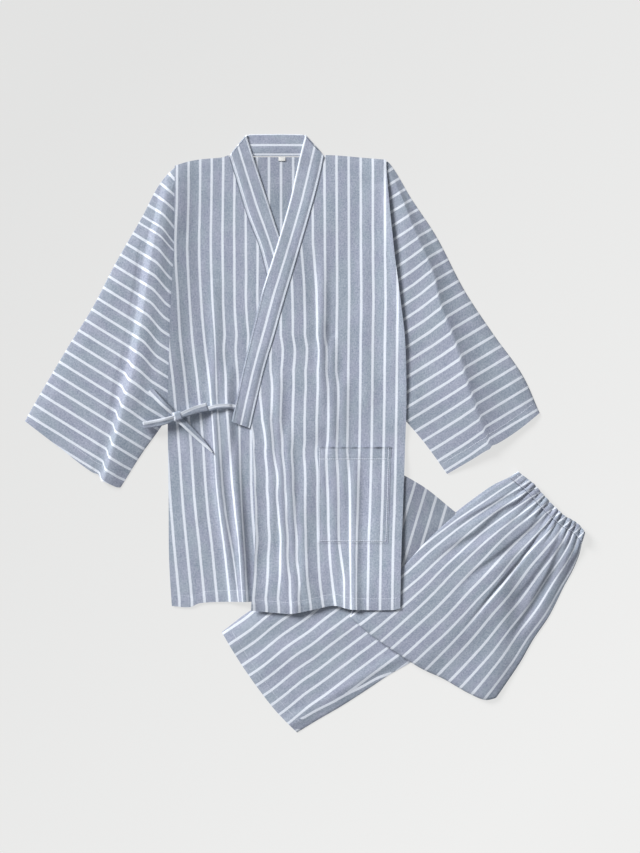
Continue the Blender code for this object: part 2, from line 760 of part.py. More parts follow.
def sleeve_middle(armhole, cuff, top, under, ridges):
    def middle(share, row):
        point = patch(armhole, cuff, top, under, share, row)
        inside = min(point.x - body_left(point.y), body_right(point.y) - point.x)
        point.z = sleeve_lift(inside) + 0.5 * SLEEVE_THICK
        rise = ridge_height(share, row, ridges)
        profile = flat_profile(SLEEVE_THICK, SLEEVE_SLIT, rise, RIDGE_INNER_SHARE * rise)
        return point, Vector((0, 0, 1)), profile
    return middle


def edge_shares(count, inset):
    return [0.0, inset] + spaced(count - 2, inset, 1.0 - inset)[1:] + [1.0]


def make_sleeves():
    """Each sleeve is one flattened tube, open at the cuff and at the armhole."""
    pairs = (
        ("sleeve_left", LEFT_SLEEVE_TOP, LEFT_SLEEVE_UNDER, LEFT_CUFF, LEFT_SLEEVE_RIDGES),
        ("sleeve_right", RIGHT_SLEEVE_TOP, RIGHT_SLEEVE_UNDER, RIGHT_CUFF, RIGHT_SLEEVE_RIDGES),
    )
    across, head, down = SLEEVE_CELLS
    rows = spaced(head, 0.0, SLEEVE_HEAD) + spaced(down, SLEEVE_HEAD, 1.0)[1:]
    slit = (0, len(rows) - 1)
    for name, top, under, cuff, ridges in pairs:
        armhole = (top[0], under[0])
        middle = sleeve_middle(armhole, cuff, top, under, ridges)
        tube(name, middle, edge_shares(across, SLEEVE_NOSE), rows, COTTON, slit,
             (SLEEVE_HOLLOW, 1.0 - SLEEVE_HOLLOW))


# ---------------------------------------------------------------- trousers

def make_right_leg():
    """The lower leg lies on the floor; its hem is open."""
    def middle(share, row):
        top = waist_line(HIDDEN_WAIST_SEAM)
        outer = (top[0],) + RIGHT_LEG_OUTER[1:]
        inner = (top[-1],) + RIGHT_LEG_INNER[1:]
        point = patch(top, RIGHT_CUFF_LEG, outer, inner, share, row)
        point.z = 0.5 * LEG_THICK
        rise = ridge_height(share, row, RIGHT_LEG_RIDGES)
        return point, Vector((0, 0, 1)), flat_profile(LEG_THICK, LEG_SLIT, rise)

    across, down = RIGHT_LEG_CELLS
    tube("trouser_right_leg", middle, edge_shares(across, LEG_NOSE), spaced(down), COTTON,
         RIGHT_LEG_HOLLOW_ROWS, (LEG_HOLLOW, 1.0 - LEG_HOLLOW))


def waist_seam(share, deep):
    """Point at a depth below the waist's top edge."""
    point = outline_point(WAIST_TOP, share)
    direction = Vector((*WAIST_DIRECTIONS[0], 0)).lerp(Vector((*WAIST_DIRECTIONS[1], 0)), share)
    return point + direction * deep


def waist_line(gap):
    """The legs' top edge, a gap below the waistband."""
    line = [waist_seam(share, WAIST_DEEP + gap) for share in spaced(WAIST_LINE_CELLS)]
    return tuple(Edge(point.x, point.y) for point in line)


def left_leg_point(share, row):
    """On the upper leg for rows 0 to 1, on the turned-under end for rows 1 to 2."""
    if row <= 1.0:
        top = waist_line(WAIST_SEAM)
        outer = (top[0],) + LEFT_LEG_OUTER[1:]
        inner = (top[-1],) + LEFT_LEG_INNER[1:]
        point = patch(top, LEFT_LEG_FOLD, outer, inner, share, row)
        point.z = under_left_leg(point.x, point.y) + 0.5 * LEG_THICK
        return point
    point = patch(LEFT_LEG_FOLD, TURNED_HEM, TURNED_OUTER, TURNED_INNER, share, row - 1.0)
    point.z = under_turned(point.x, point.y) + 0.5 * LEG_THICK
    return point


def make_left_leg():
    """The upper leg and its turned-under end are one tube, folded along the bottom."""
    radius = 0.5 * LEG_STEP
    turn_in = radius + 0.5 * LEG_THICK
    across, down, turned = LEFT_LEG_CELLS
    flat_rows = [("leg", row) for row in spaced(down, 0.0, FOLD_START)]
    turn_rows = [("turn", angle) for angle in TURN_ANGLES[1:-1]]
    end_rows = [("leg", row) for row in spaced(turned, FOLD_END, 2.0)]
    rows = flat_rows + turn_rows + end_rows

    def middle(share, row):
        kind, value = row
        if kind == "leg":
            point = left_leg_point(share, value)
            if value > 1.0:
                return point, Vector((0, 0, -1)), flat_profile(LEG_THICK, LEG_SLIT)
            rise = ridge_height(share, value, LEG_RIDGES)
            return point, Vector((0, 0, 1)), flat_profile(LEG_THICK, LEG_SLIT, rise)
        fold = outline_point(LEFT_LEG_FOLD, share)
        inward = (left_leg_point(share, FOLD_FACING) - fold).to_2d().normalized().to_3d()
        turn = math.radians(value)
        fold += inward * (turn_in - radius * math.sin(turn))
        fold.z = (under_turned(fold.x, fold.y) + 0.5 * LEG_THICK + radius
                  + radius * math.cos(turn))
        normal = Vector((0, 0, math.cos(turn))) - inward * math.sin(turn)
        return fold, normal, flat_profile(LEG_THICK, LEG_SLIT)

    last = len(rows) - 1
    tube("trouser_left_leg", middle, edge_shares(across, LEG_NOSE), rows, COTTON,
         (last - LEFT_LEG_HOLLOW_CELLS, last), (LEG_HOLLOW, 1.0 - LEG_HOLLOW))


def make_waistband():
    """The gathered casing: a flattened ring folded in half, open through its height."""
    radius = 0.5 * LEG_STEP
    upper = [("upper", share) for share in edge_shares(2 * WAIST_GATHERS, LEG_NOSE)[:-1]]
    turn = [("turn", angle) for angle in TURN_ANGLES]
    lower = [("lower", share) for share in (*WAIST_LOWER_SHARES, LEG_NOSE, 0.0)]
    shares = upper + turn + lower
    end_direction = (outline_point(WAIST_TOP, 1.0)
                     - outline_point(WAIST_TOP, WAIST_FACING)).normalized()

    def middle(place, row):
        kind, value = place
        if kind == "turn":
            angle = math.radians(value)
            point = waist_seam(1.0, WAIST_DEEP * row)
            point += end_direction * (radius * math.sin(angle) - radius - 0.5 * LEG_THICK)
            point.z = LEG_STEP - 0.5 * LAYER_AIR + radius * math.cos(angle)
            normal = Vector((0, 0, math.cos(angle))) + end_direction * math.sin(angle)
            return point, normal, flat_profile(LEG_THICK, LEG_SLIT)
        point = waist_seam(WAIST_END * value, WAIST_DEEP * row)
        if kind == "lower":
            point.z = 0.5 * LEG_THICK
            return point, Vector((0, 0, -1)), flat_profile(LEG_THICK, LEG_SLIT)
        point.z = LEG_STEP + 0.5 * LEG_THICK
        wave = 0.5 - 0.5 * math.cos(2 * math.pi * WAIST_GATHERS * value)
        rise = GATHER_HIGH * wave * smooth((1.0 - value) * WAIST_GATHERS)
        return point, Vector((0, 0, 1)), flat_profile(LEG_THICK, LEG_SLIT, rise)

    tube("trouser_waistband", middle, shares, WAIST_ROWS, COTTON, (0, len(WAIST_ROWS) - 1),
         (("upper", LEG_HOLLOW), ("lower", LEG_HOLLOW)))


# ---------------------------------------------------------------- bow

def top_of_sleeve(x, y):
    """Highest the left sleeve reaches near a point."""
    return sleeve_lift(x - body_left(y)) + SLEEVE_THICK + LEFT_SLEEVE_RIDGES[0].high1


def top_of_jacket(x, y):
    if x < body_left(y):
        return top_of_sleeve(x, y)
    return under_right_front(x, y) + fold_height(x, y, RIGHT_FOLDS) + BODY_WALL


def clear_above(x, y):
    """Height that clears the cloth all round a point of a tie."""
    steps = (-TIE_PROBE, 0.0, TIE_PROBE)
    return TIE_CLEAR + max(top_of_jacket(x + dx, y + dy) for dx in steps for dy in steps)


def tie_point(tie, share, across):
    start = Vector((tie.x0, tie.y0, 0))
    end = Vector((tie.x1, tie.y1, 0))
    run = (end - start).normalized()
    side = Vector((-run.y, run.x, 0))
    centre = start.lerp(end, share) + side * (tie.bend * math.sin(math.pi * share))
    half = lerp(tie.half0, tie.half1, share)
    return centre + side * half * (2.0 * across - 1.0), run


def make_tie(tie):
    """A loop is a strap turned back on itself at its end; a tail is a single strap."""
    radius = 0.5 * (TIE_WALL + LAYER_AIR)
    out_rows = [("out", share) for share in spaced(TIE_CELLS, 0.0, LOOP_TURN)]
    turn_rows = [("turn", angle) for angle in TURN_ANGLES[1:-1]]
    back_rows = [("back", share) for share in spaced(TIE_CELLS, LOOP_TURN, 0.0)]

    def middle(across, row):
        kind, value = row
        share = LOOP_TURN if kind == "turn" else value
        point, run = tie_point(tie, share, across)
        point.z = clear_above(*tie_point(tie, share, 0.5)[0].to_2d()) + 0.5 * TIE_WALL
        if kind == "back":
            return point, Vector((0, 0, -1)), flat_profile(TIE_WALL)
        if kind == "turn":
            turn = math.radians(value)
            point += run * radius * math.sin(turn)
            point.z += radius + radius * math.cos(turn)
            return point, Vector((0, 0, math.cos(turn))) + run * math.sin(turn), \
                flat_profile(TIE_WALL)
        if tie.is_loop:
            point.z += 2.0 * radius
        return point, Vector((0, 0, 1)), flat_profile(TIE_WALL)

    rows = out_rows + turn_rows + back_rows if tie.is_loop else out_rows
    tube(tie.name, middle, TIE_SHARES, rows, COTTON)


def make_knot():
    """A small rounded block of wrapped cloth where the ties cross."""
    base = clear_above(KNOT["x"], KNOT["y"])
    centre = Vector((KNOT["x"], KNOT["y"], base + 0.5 * KNOT["high"]))
    points = []
    rings = []
    for level, spread in KNOT_LEVELS:
        ring = []
        for i in range(KNOT_SIDES):
            angle = 2 * math.pi * i / KNOT_SIDES
            reach = max(abs(math.cos(angle)), abs(math.sin(angle))) ** -KNOT_SQUARENESS
            ring.append(len(points))
            points.append(centre + Vector((
                0.5 * KNOT["wide"] * spread * reach * math.cos(angle),
                0.5 * KNOT["tall"] * spread * reach * math.sin(angle),
                KNOT["high"] * level)))
        rings.append(ring)
    faces = [tuple(rings[0]), tuple(rings[-1])]
    for first, second in zip(rings, rings[1:]):
        faces += strip(first + first[:1], second + second[:1])
    add_solid("tie_knot", points, faces, COTTON_DARK)


def main():
    for old in list(bpy.data.objects):
        bpy.data.objects.remove(old, do_unlink=True)
    make_back()
    make_right_front()
    make_left_front()
    make_label()
    make_collar()
    make_sleeves()
    make_right_leg()
    make_left_leg()
    make_waistband()
    make_knot()
    for tie in TIES:
        make_tie(tie)


main()
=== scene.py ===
"""Jinbei set laid flat: the looks of its striped cotton, its folds, its seams and its bow.

Sizes are millimetres in the frame's own axes; MM turns them into metres when a mesh is made.
The cloth is laid in order, each piece on the heap of what is already there.
"""

import math
from collections import namedtuple

import bpy
import numpy as np
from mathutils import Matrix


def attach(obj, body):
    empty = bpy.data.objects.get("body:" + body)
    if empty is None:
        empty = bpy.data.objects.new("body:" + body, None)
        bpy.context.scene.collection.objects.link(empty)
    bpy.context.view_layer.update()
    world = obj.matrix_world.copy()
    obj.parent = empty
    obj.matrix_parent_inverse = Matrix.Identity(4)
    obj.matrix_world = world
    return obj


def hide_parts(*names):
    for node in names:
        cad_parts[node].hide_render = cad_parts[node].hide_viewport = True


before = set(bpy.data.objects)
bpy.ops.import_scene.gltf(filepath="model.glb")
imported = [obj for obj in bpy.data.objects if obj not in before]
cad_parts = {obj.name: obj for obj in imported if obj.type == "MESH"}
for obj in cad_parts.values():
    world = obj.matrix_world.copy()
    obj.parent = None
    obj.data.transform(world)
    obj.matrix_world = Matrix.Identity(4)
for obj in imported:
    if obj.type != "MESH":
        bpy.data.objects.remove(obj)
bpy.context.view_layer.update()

MM = 0.001
PITCH = 21.2                # from one white stripe to the next

# Cloth: its walls, the air under each piece, and the thickness of flattened tubes.
WALL = 1.0
POCKET_WALL = 0.9
LABEL_WALL = 0.5
AIR = 0.4
TUBE_THICK = 3.2
COLLAR_THICK = 2.2
LIFT = 0.5                  # cloth's usual height over what it lies on, so that seams can sink


def table(fields, *rows):
    """Rows whose values are read by name."""
    kind = namedtuple("Row", fields)
    return tuple(kind(*row) for row in rows)


def fold_tables(*folds):
    """Folds down a front; take is the cloth hidden in the fold."""
    return [table("y x take high", *rows) for rows in folds]


# ------------------------------------------------------------- the garment's outlines

BODY = table(
    "y left right",
    (487, -228, 142), (468, -228, 142.5), (407, -228.5, 147), (319, -229.5, 156),
    (232, -234.5, 167), (162, -237, 175), (57, -240, 177.5), (-31, -240, 175), (-118, -239, 172),
    (-223, -238, 168), (-318, -232.5, 166))
SHOULDER = (
    (-229, 467), (-206, 474.5), (-184, 478.5), (-145, 482), (-133, 485.5), (34, 486), (60, 485),
    (143, 477.5))
LEFT_HEM = (
    (-96, -311.5), (-46, -316), (-24, -317), (14, -310), (50, -303), (79, -309), (154, -310),
    (167, -307))
RIGHT_HEM = ((-233, -304), (-196, -306), (-175, -299), (-115, -296.5), (4, -296))
BACK_HEM = -294.0
BACK_INSET = 1.5            # how far the back stays inside the fronts' side lines
BACK_DROP = 1.3             # and below their shoulder line
BACK_STRIPE_X = -42.0
UNDER_LAP = 22.0            # how far the under front's fine part reaches below the lapping one
NECK_SEAM = 484.0

COLLAR = table(
    "y_in y_out left_in left_out right_in right_out",
    (522, 485.5, 1, 34, -103, -133), (484, 456, -9, 28, -91, -124),
    (446, 417, -17.5, 18.5, -78.5, -112.5), (408, 380, -26, 8, -66, -101),
    (345, 325, -44, -8, -45.5, -79.5), (291, 272, -61, -23.5, -27, -65.5),
    (246, 227, -75, -37, -13, -52), (179, 167, -92, -54, 3.5, -35), (127, 118, -105, -69, 16, -20),
    (74, 66, -117, -82, 27, -8), (19, 7, -128.5, -95.5, 37.5, 4))
LEFT_EDGE = table(
    "y x",
    (7, -94), (-20, -91.5), (-66, -90), (-153, -87), (-209, -88), (-261, -91.5), (-318, -94.5))
RIGHT_EDGE_X = 3.0

POCKET_SIDES = (0.425, 0.907)       # as shares of the way across the lapping front
POCKET_TOP = -24.5
POCKET_FOOT = -194.5
POCKET_HEM = 22.0
POCKET_SAG = 1.2                    # of its mouth
POCKET_WIDE = 87.0
POCKET_TALL = 170.0
LABEL = {"x": -40.5, "y": 482.5, "wide": 12.0, "tall": 6.5}

# Each sleeve is drawn between two lines: its upper fold, and its armhole with the underarm.
LEFT_SLEEVE_TOP = (
    (-216, 462), (-227, 465), (-256, 433.5), (-286, 377), (-332, 297), (-373.5, 217),
    (-411.5, 156.5), (-461, 73), (-490, 22), (-492, 17))
LEFT_SLEEVE_UNDER = (
    (-216, 462), (-224, 40), (-240.5, 27.5), (-256, 4.5), (-286, -37), (-322, -94), (-326, -99))
RIGHT_SLEEVE_TOP = (
    (131, 470), (146, 474), (187, 409), (230, 344), (279, 250), (329, 174), (381, 101), (411, 35))
RIGHT_SLEEVE_UNDER = ((131, 470), (163, 32), (178.5, 18), (212.5, -22), (251, -75.5))
SLEEVE_STRIPES = 24.5

WAIST_TOP = ((373, -67.5), (400, -90), (428, -121), (453, -144.5), (478, -160), (490.5, -176.5))
WAIST_DEEP = 19.0
WAIST_SEAMS = (17.0, 6.5)           # lines of sewing, down from the casing's edge
WAIST_DIRECTIONS = np.array(((-0.82, -0.57), (-0.30, -0.95)))
GATHERS = 15
LEFT_LEG_OUTER = (
    (357.2, -78.6), (330, -95.5), (283, -129), (260.5, -146), (232.5, -171), (204.5, -198.5),
    (168.5, -238), (77, -323))
LEFT_LEG_INNER = (
    (484.8, -195), (480, -215.5), (469.5, -241), (453, -271.5), (428, -321.5), (400, -363),
    (377.5, -402.5), (355, -436), (334, -466))
LEFT_LEG_FOLD = (
    (77, -323), (125.5, -360.5), (169.5, -390), (207.5, -414), (243, -430.5), (288, -456),
    (316, -468), (334, -466))
TURNED_OUTER = ((77, -323), (130, -190), (165, -70))
TURNED_INNER = ((334, -466), (350, -330), (347, -203))
TURNED_HEM = ((165, -70), (212, -98), (264, -140), (347, -203))
RIGHT_LEG_OUTER = (
    (357, -76.5), (328, -93), (281, -127), (258, -144), (150, -199), (0, -268), (-90, -310.5),
    (-143, -350))
RIGHT_LEG_INNER = (
    (484.5, -196), (330, -303), (187, -402), (146, -426), (107, -452), (65, -479), (22, -504),
    (-14, -526))
RIGHT_LEG_CUFF = ((-146, -350), (-109, -410), (-56, -482), (-14, -526))

# ------------------------------------------------------------- numbers and curves


def smooth(share):
    share = np.clip(share, 0.0, 1.0)
    return share * share * (3.0 - 2.0 * share)


def bell(offset, reach):
    """One at the middle, nothing past the reach on either side."""
    return 0.5 + 0.5 * np.cos(np.pi * np.clip(np.abs(offset) / reach, 0.0, 1.0))


def lerp(a, b, share):
    return a + (b - a) * share


def arch(share):
    """Nothing at shares 0 and 1, one half way."""
    return np.sin(np.pi * share)


def joined(*parts):
    return np.stack(parts, axis=-1)


def split(points):
    return np.moveaxis(points, -1, 0)


def through(knots, values, at):
    """Smooth curve through the values at rising knots; values may be points."""
    knots = np.asarray(knots, float)
    values = np.asarray(values, float)
    at = np.clip(np.asarray(at, float), knots[0], knots[-1])
    here = np.clip(np.searchsorted(knots, at, side="right") - 1, 0, len(knots) - 2)
    there = here + 1
    before = np.maximum(here - 1, 0)
    after = np.minimum(here + 2, len(knots) - 1)
    span = knots[there] - knots[here]
    t = (at - knots[here]) / span
    run_here = knots[there] - knots[before]
    run_there = knots[after] - knots[here]
    if values.ndim > 1:
        t, span, run_here, run_there = (a[..., None] for a in (t, span, run_here, run_there))
    slope_here = (values[there] - values[before]) / run_here
    slope_there = (values[after] - values[here]) / run_there
    return ((2 * t**3 - 3 * t**2 + 1) * values[here] + (t**3 - 2 * t**2 + t) * span * slope_here
            + (3 * t**2 - 2 * t**3) * values[there] + (t**3 - t**2) * span * slope_there)


def along_x(points, x):
    """Second coordinate of a line of points where the first is x."""
    first, second = zip(*sorted(points))
    return through(first, second, x)


def column(rows, key, value, at):
    """Value of one named column at places along another, through smooth curves."""
    return along_x([(getattr(row, key), getattr(row, value)) for row in rows], at)


def running(steps):
    """Distance from the first point, given the steps between points along the last axis."""
    return np.cumsum(np.concatenate([np.zeros((*steps.shape[:-1], 1)), steps], axis=-1), axis=-1)


def lengths(points):
    return running(np.hypot(*np.diff(np.asarray(points, float), axis=0).T))


def on_line(points, share):
    """Points at shares of the length of the smooth line through the points."""
    along = lengths(points)
    return through(along, points, np.asarray(share) * along[-1])


def patch(start, end, first, second, across, along):
    """Points of a Coons patch; across runs over the columns and along over the rows."""
    shares = across[None, :, None]
    rows = along[:, None, None]
    sides = lerp(on_line(first, along)[:, None, :], on_line(second, along)[:, None, :], shares)
    ends = lerp(on_line(start, across)[None, :, :], on_line(end, across)[None, :, :], rows)
    corners = [lerp(on_line(first, [at]), on_line(second, [at]), shares) for at in (0.0, 1.0)]
    return sides + ends - lerp(*corners, rows)


def off_line(x, y, points):
    """Signed distance to a line of points, positive on its right, and the share along it."""
    points = np.asarray(points, float)
    along = lengths(points)
    best = np.full(np.shape(x), np.inf)
    signed = np.zeros(np.shape(x))
    share = np.zeros(np.shape(x))
    for a, b, start, stop in zip(points[:-1], points[1:], along[:-1], along[1:]):
        run = b - a
        t = np.clip(((x - a[0]) * run[0] + (y - a[1]) * run[1]) / (run @ run), 0.0, 1.0)
        dx = x - a[0] - t * run[0]
        dy = y - a[1] - t * run[1]
        far = np.hypot(dx, dy)
        near = far < best
        signed = np.where(near, np.where(dx * run[1] - dy * run[0] >= 0, far, -far), signed)
        share = np.where(near, (start + t * (stop - start)) / along[-1], share)
        best = np.minimum(best, far)
    return signed, share


# ------------------------------------------------------------- the heap of cloth

CELL = 4.0
HEAP_CORNER = (-560.0, -600.0)
HEAP_SHAPE = (310, 285)
heap = np.zeros(HEAP_SHAPE)


def cells(x, y):
    """The heap's cell at each place, as row and column, and how far into the cell it is."""
    row = np.clip((np.asarray(y) - HEAP_CORNER[1]) / CELL, 0, HEAP_SHAPE[0] - 1.001)
    col = np.clip((np.asarray(x) - HEAP_CORNER[0]) / CELL, 0, HEAP_SHAPE[1] - 1.001)
    r = row.astype(int)
    c = col.astype(int)
    return r, c, row - r, col - c


def sample(field, x, y):
    r, c, down, right = cells(x, y)
    return ((1 - down) * ((1 - right) * field[r, c] + right * field[r, c + 1])
            + down * ((1 - right) * field[r + 1, c] + right * field[r + 1, c + 1]))


def pile_up(x, y, z):
    """The heap now reaches z at these places."""
    r, c, _, _ = cells(x, y)
    for corner in (0, 0), (0, 1), (1, 0), (1, 1):
        np.maximum.at(heap, (r + corner[0], c + corner[1]), z)


def widened(field, reach):
    """Greatest value within so many cells."""
    for axis in (0, 1):
        field = np.max([np.roll(field, by, axis) for by in range(-reach, reach + 1)], axis=0)
    return field


def blurred(field, reach):
    far = int(3 * reach)
    kernel = np.exp(-0.5 * (np.arange(-far, far + 1) / reach) ** 2)
    kernel /= kernel.sum()
    for axis in (0, 1):
        field = np.apply_along_axis(np.convolve, axis, field, kernel, mode="same")
    return field


def bed(spread, soft):
    """Smooth surface that a new piece lies on, as a function of place."""
    field = blurred(np.maximum(blurred(widened(heap, spread), soft), heap), 0.8)
    return lambda x, y: sample(field, x, y) + AIR


noise_rng = np.random.default_rng(7)


def waves(size, high):
    """A soft uneven surface over the heap's whole area, with waves of about that size."""
    field = blurred(noise_rng.standard_normal(HEAP_SHAPE), size / CELL / 2)
    return field * (high / field.std())


BROAD_WAVES = waves(70.0, 0.45)
SMALL_WAVES = waves(26.0, 0.16)


def slack(x, y):
    """Unevenness of cloth that lies loose."""
    return sample(BROAD_WAVES, x, y) + sample(SMALL_WAVES, x, y)


# ------------------------------------------------------------- cotton

GROUND_LIGHT = (0.428, 0.478, 0.550)
GROUND_DARK = (0.246, 0.294, 0.366)
VIOLET_LIGHT = (0.450, 0.470, 0.575)
VIOLET_DARK = (0.265, 0.288, 0.386)
STRIPE = (0.775, 0.82, 0.90)
LABEL_WHITE = (0.82, 0.82, 0.80)
THREAD = (0.74, 0.78, 0.86)
STRIPE_HALF = 0.104         # half a white stripe, as a share of the pitch
STRIPE_FRAY = 0.022
WEAVE_YARNS = 19            # yarns to each pitch, either way


def tone(colour, shade=1.0):
    return (*(shade * c for c in colour), 1.0)


class Tree:
    """Short names for making and joining shader nodes."""

    def __init__(self, name):
        self.material = bpy.data.materials.new(name)
        self.material.use_nodes = True
        self.nodes = self.material.node_tree.nodes
        self.links = self.material.node_tree.links
        self.shader = self.nodes["Principled BSDF"]

    def fill(self, node, inputs):
        """Links or sets a node's inputs; an underscore in a name stands for a space."""
        for key, value in inputs.items():
            socket = node.inputs[key if isinstance(key, int) else key.replace("_", " ")]
            if isinstance(value, bpy.types.NodeSocket):
                self.links.new(value, socket)
            else:
                socket.default_value = value

    def node(self, kind, numbered=(), settings=(), **named):
        made = self.nodes.new(kind)
        for key, value in dict(settings).items():
            setattr(made, key, value)
        self.fill(made, {**dict(numbered), **named})
        return made

    def math(self, operation, *values):
        return self.node("ShaderNodeMath", enumerate(values), {"operation": operation}).outputs[0]

    def vector(self, operation, value, factors=(0, 0, 0), **named):
        return self.node("ShaderNodeVectorMath", {0: value, 1: factors},
                         {"operation": operation}, **named).outputs[0]

    def noise(self, vector, factors, detail=2.0):
        return self.node("ShaderNodeTexNoise", Vector=self.vector("MULTIPLY", vector, factors),
                         Scale=1.0, Detail=detail, Roughness=0.6).outputs[0]

    def mix(self, share, a, b):
        return self.node("ShaderNodeMix", {0: share, 6: a, 7: b},
                         {"data_type": "RGBA"}).outputs[2]

    def ranged(self, value, low, high, to_low=0.0, to_high=1.0, soft=True):
        kind = "SMOOTHSTEP" if soft else "LINEAR"
        return self.node("ShaderNodeMapRange", (), {"interpolation_type": kind}, Value=value,
                         From_Min=low, From_Max=high, To_Min=to_low, To_Max=to_high).outputs[0]

    def finish(self, colour, height, strength, distance, **values):
        bump = self.node("ShaderNodeBump", Strength=strength, Distance=distance, Height=height)
        self.fill(self.shader, {"Base_Color": colour, "Normal": bump.outputs[0], **values})
        return self.material


def cotton(name, shade=1.0):
    """Woven cotton with white stripes where the first map coordinate is a whole number."""
    tree = Tree(name)
    place = tree.node("ShaderNodeUVMap", (), {"uv_map": "UVMap"}).outputs[0]
    axes = tree.node("ShaderNodeSeparateXYZ", Vector=place).outputs
    across = axes[0]
    for factors, detail, share in (((34.0, 15.0, 1.0), 3.0, 0.075), ((2.0, 0.5, 1.0), 2.0, 0.05)):
        across = tree.math("MULTIPLY_ADD", tree.noise(place, factors, detail), share, across)
    off = tree.math("PINGPONG", tree.math("SUBTRACT", across, 0.0625), 0.5)
    stripe = tree.ranged(off, STRIPE_HALF - STRIPE_FRAY, STRIPE_HALF + STRIPE_FRAY, 1.0, 0.0)

    # The yarn's colour varies along the warp, along the weft, in specks, in slubs and broadly.
    yarn = tree.math("MULTIPLY", tree.noise(place, (30.0, 1.6, 1.0), 3.0), 0.6)
    speck = tree.noise(place, (8.6, 7.4, 1.0))
    for part, share in ((tree.noise(place, (1.4, 28.0, 1.0), 3.0), 0.5), (speck, 1.9),
                        (tree.noise(place, (6.5, 1.8, 1.0)), 0.7),
                        (tree.noise(place, (0.8, 0.45, 1.0)), 0.7)):
        yarn = tree.math("MULTIPLY_ADD", part, share, yarn)
    hue = tree.ranged(tree.noise(place, (0.55, 0.30, 3.0)), 0.34, 0.66, 0.0, 0.8)
    ground = tree.mix(tree.ranged(yarn, 1.79, 2.66, soft=False),
                      tree.mix(hue, tone(GROUND_DARK, shade), tone(VIOLET_DARK, shade)),
                      tree.mix(hue, tone(GROUND_LIGHT, shade), tone(VIOLET_LIGHT, shade)))
    white = tree.vector("SCALE", tone(STRIPE, shade)[:3],
                        Scale=tree.ranged(speck, 0.3, 0.7, 0.90, 1.0, soft=False))

    ridges = [tree.math("SINE", tree.math("MULTIPLY", axes[k], 2 * math.pi * WEAVE_YARNS))
              for k in (0, 1)]
    height = tree.math("MULTIPLY_ADD", tree.math("MULTIPLY", *ridges), 0.22,
                       tree.math("MULTIPLY", yarn, 0.6))
    height = tree.math("MULTIPLY_ADD", stripe, 0.30, height)
    return tree.finish(tree.mix(stripe, ground, white), height, 0.35, 0.0006, Roughness=0.86,
                       Specular_IOR_Level=0.22, Sheen_Weight=0.12, Sheen_Roughness=0.45)


def plain(name, colour):
    """Plain woven tape or thread, a little uneven."""
    tree = Tree(name)
    place = tree.node("ShaderNodeTexCoord").outputs["Object"]
    grain = tree.noise(place, (900.0, 900.0, 900.0))
    return tree.finish(tree.mix(grain, tone(colour, 0.90), tone(colour)), grain, 0.3, 0.0003,
                       Roughness=0.8)


COTTON = cotton("Striped_Cotton")
# The back's inside shows the cloth's wrong side, a little darker; on the waist casing the same
# darker cotton is painted shade of its gathers.
COTTON_INSIDE_AND_SHADE = cotton("Striped_Cotton_Inside_And_Shade", 0.88)
COTTON_PAINTED_SHADE = cotton("Striped_Cotton_Painted_Shade", 0.93)     # painted shade: a darker copy of the cotton for the right sleeve, upper leg and bow's straps
# Painted shadow: a much darker copy of the cotton for the trouser leg's turned end, as if in the
# shadow of the jacket and the upper leg.
COTTON_TURNED_SHADOW = cotton("Striped_Cotton_Turned_Shadow", 0.70)
THREAD_MATERIAL = plain("Sewing_Thread", THREAD)
LABEL_MATERIAL = plain("Blank_Label_Tape", LABEL_WHITE)

# ------------------------------------------------------------- meshes

SLIT_INSET = 2.4            # from a tube's folded edge to its slit, in walls
SLIT_HALF = 0.12            # the slit's least half height
EDGE_NOSE = 9.0             # how far in from its folded edges a tube reaches its thickness


def quads(first, second, closed=False):
    """Quads between two equal rows of point numbers."""
    if closed:
        first, second = np.append(first, first[0]), np.append(second, second[0])
    return np.stack([first[:-1], first[1:], second[1:], second[:-1]], axis=1)


def add_object(name, data):
    made = bpy.data.objects.new(name, data)
    bpy.context.collection.objects.link(made)
    return made


def add_mesh(name, points, faces, uv, material, sharp=True):
    mesh = bpy.data.meshes.new(name)
    mesh.from_pydata((np.asarray(points) * MM).tolist(), [], faces)
    loops = np.empty(len(mesh.loops), dtype=np.int32)
    mesh.loops.foreach_get("vertex_index", loops)
    layer = mesh.uv_layers.new(name="UVMap")
    layer.data.foreach_set("uv", np.asarray(uv, dtype=np.float32)[loops].ravel())
    mesh.polygons.foreach_set("use_smooth", np.ones(len(mesh.polygons), dtype=bool))
    mesh.update()
    if sharp:
        mesh.set_sharp_from_angle(angle=math.radians(55))
    mesh.materials.append(material)
    piece = add_object(name, mesh)
    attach(piece, "root")
    return piece


def wall_sheet(name, x, y, top, u, v, wall=WALL, material=COTTON):
    """A sheet of cloth with its upper side at top."""
    upper = joined(x, y, top).reshape(-1, 3)
    number = np.arange(x.size).reshape(x.shape)
    under = number + x.size
    faces = [quads(number[r + 1], number[r]) for r in range(len(x) - 1)]
    faces += [quads(under[r], under[r + 1]) for r in range(len(x) - 1)]
    faces += [quads(number[0], under[0]), quads(under[-1], number[-1]),
              quads(under[:, 0], number[:, 0]), quads(number[:, -1], under[:, -1])]
    uv = joined(u, v).reshape(-1, 2)
    return add_mesh(name, np.vstack([upper, upper - (0.0, 0.0, wall)]),
                    np.vstack(faces).tolist(), np.vstack([uv, uv]), material)


def upward(points):
    return np.broadcast_to((0.0, 0.0, 1.0), (*points.shape[:2], 3))


def turn_over(base, out, wide, mid, tall, angles):
    """Rows of points half way round a fold that bulges outward, and their outward directions."""
    points = []
    normals = []
    for angle in angles:
        place = base + out * (wide * math.sin(angle))[:, None]
        points.append(np.column_stack([place, mid + tall * math.cos(angle)]))
        normals.append(np.column_stack([0 * base + out * math.sin(angle),
                                        0 * mid + math.cos(angle)]))
    return np.array(points), np.array(normals)


def run_length(points):
    """Distance from the first row, averaged over the columns."""
    return running(np.linalg.norm(np.diff(points, axis=0), axis=2).mean(axis=1))[:, None]


def across_run(points):
    """Distance of each point from its row's first point."""
    return running(np.linalg.norm(np.diff(points, axis=1), axis=2))


def from_folds(along):
    """Distance from the nearer of a tube's two folded sides."""
    return np.minimum(along, along[:, -1:] - along)


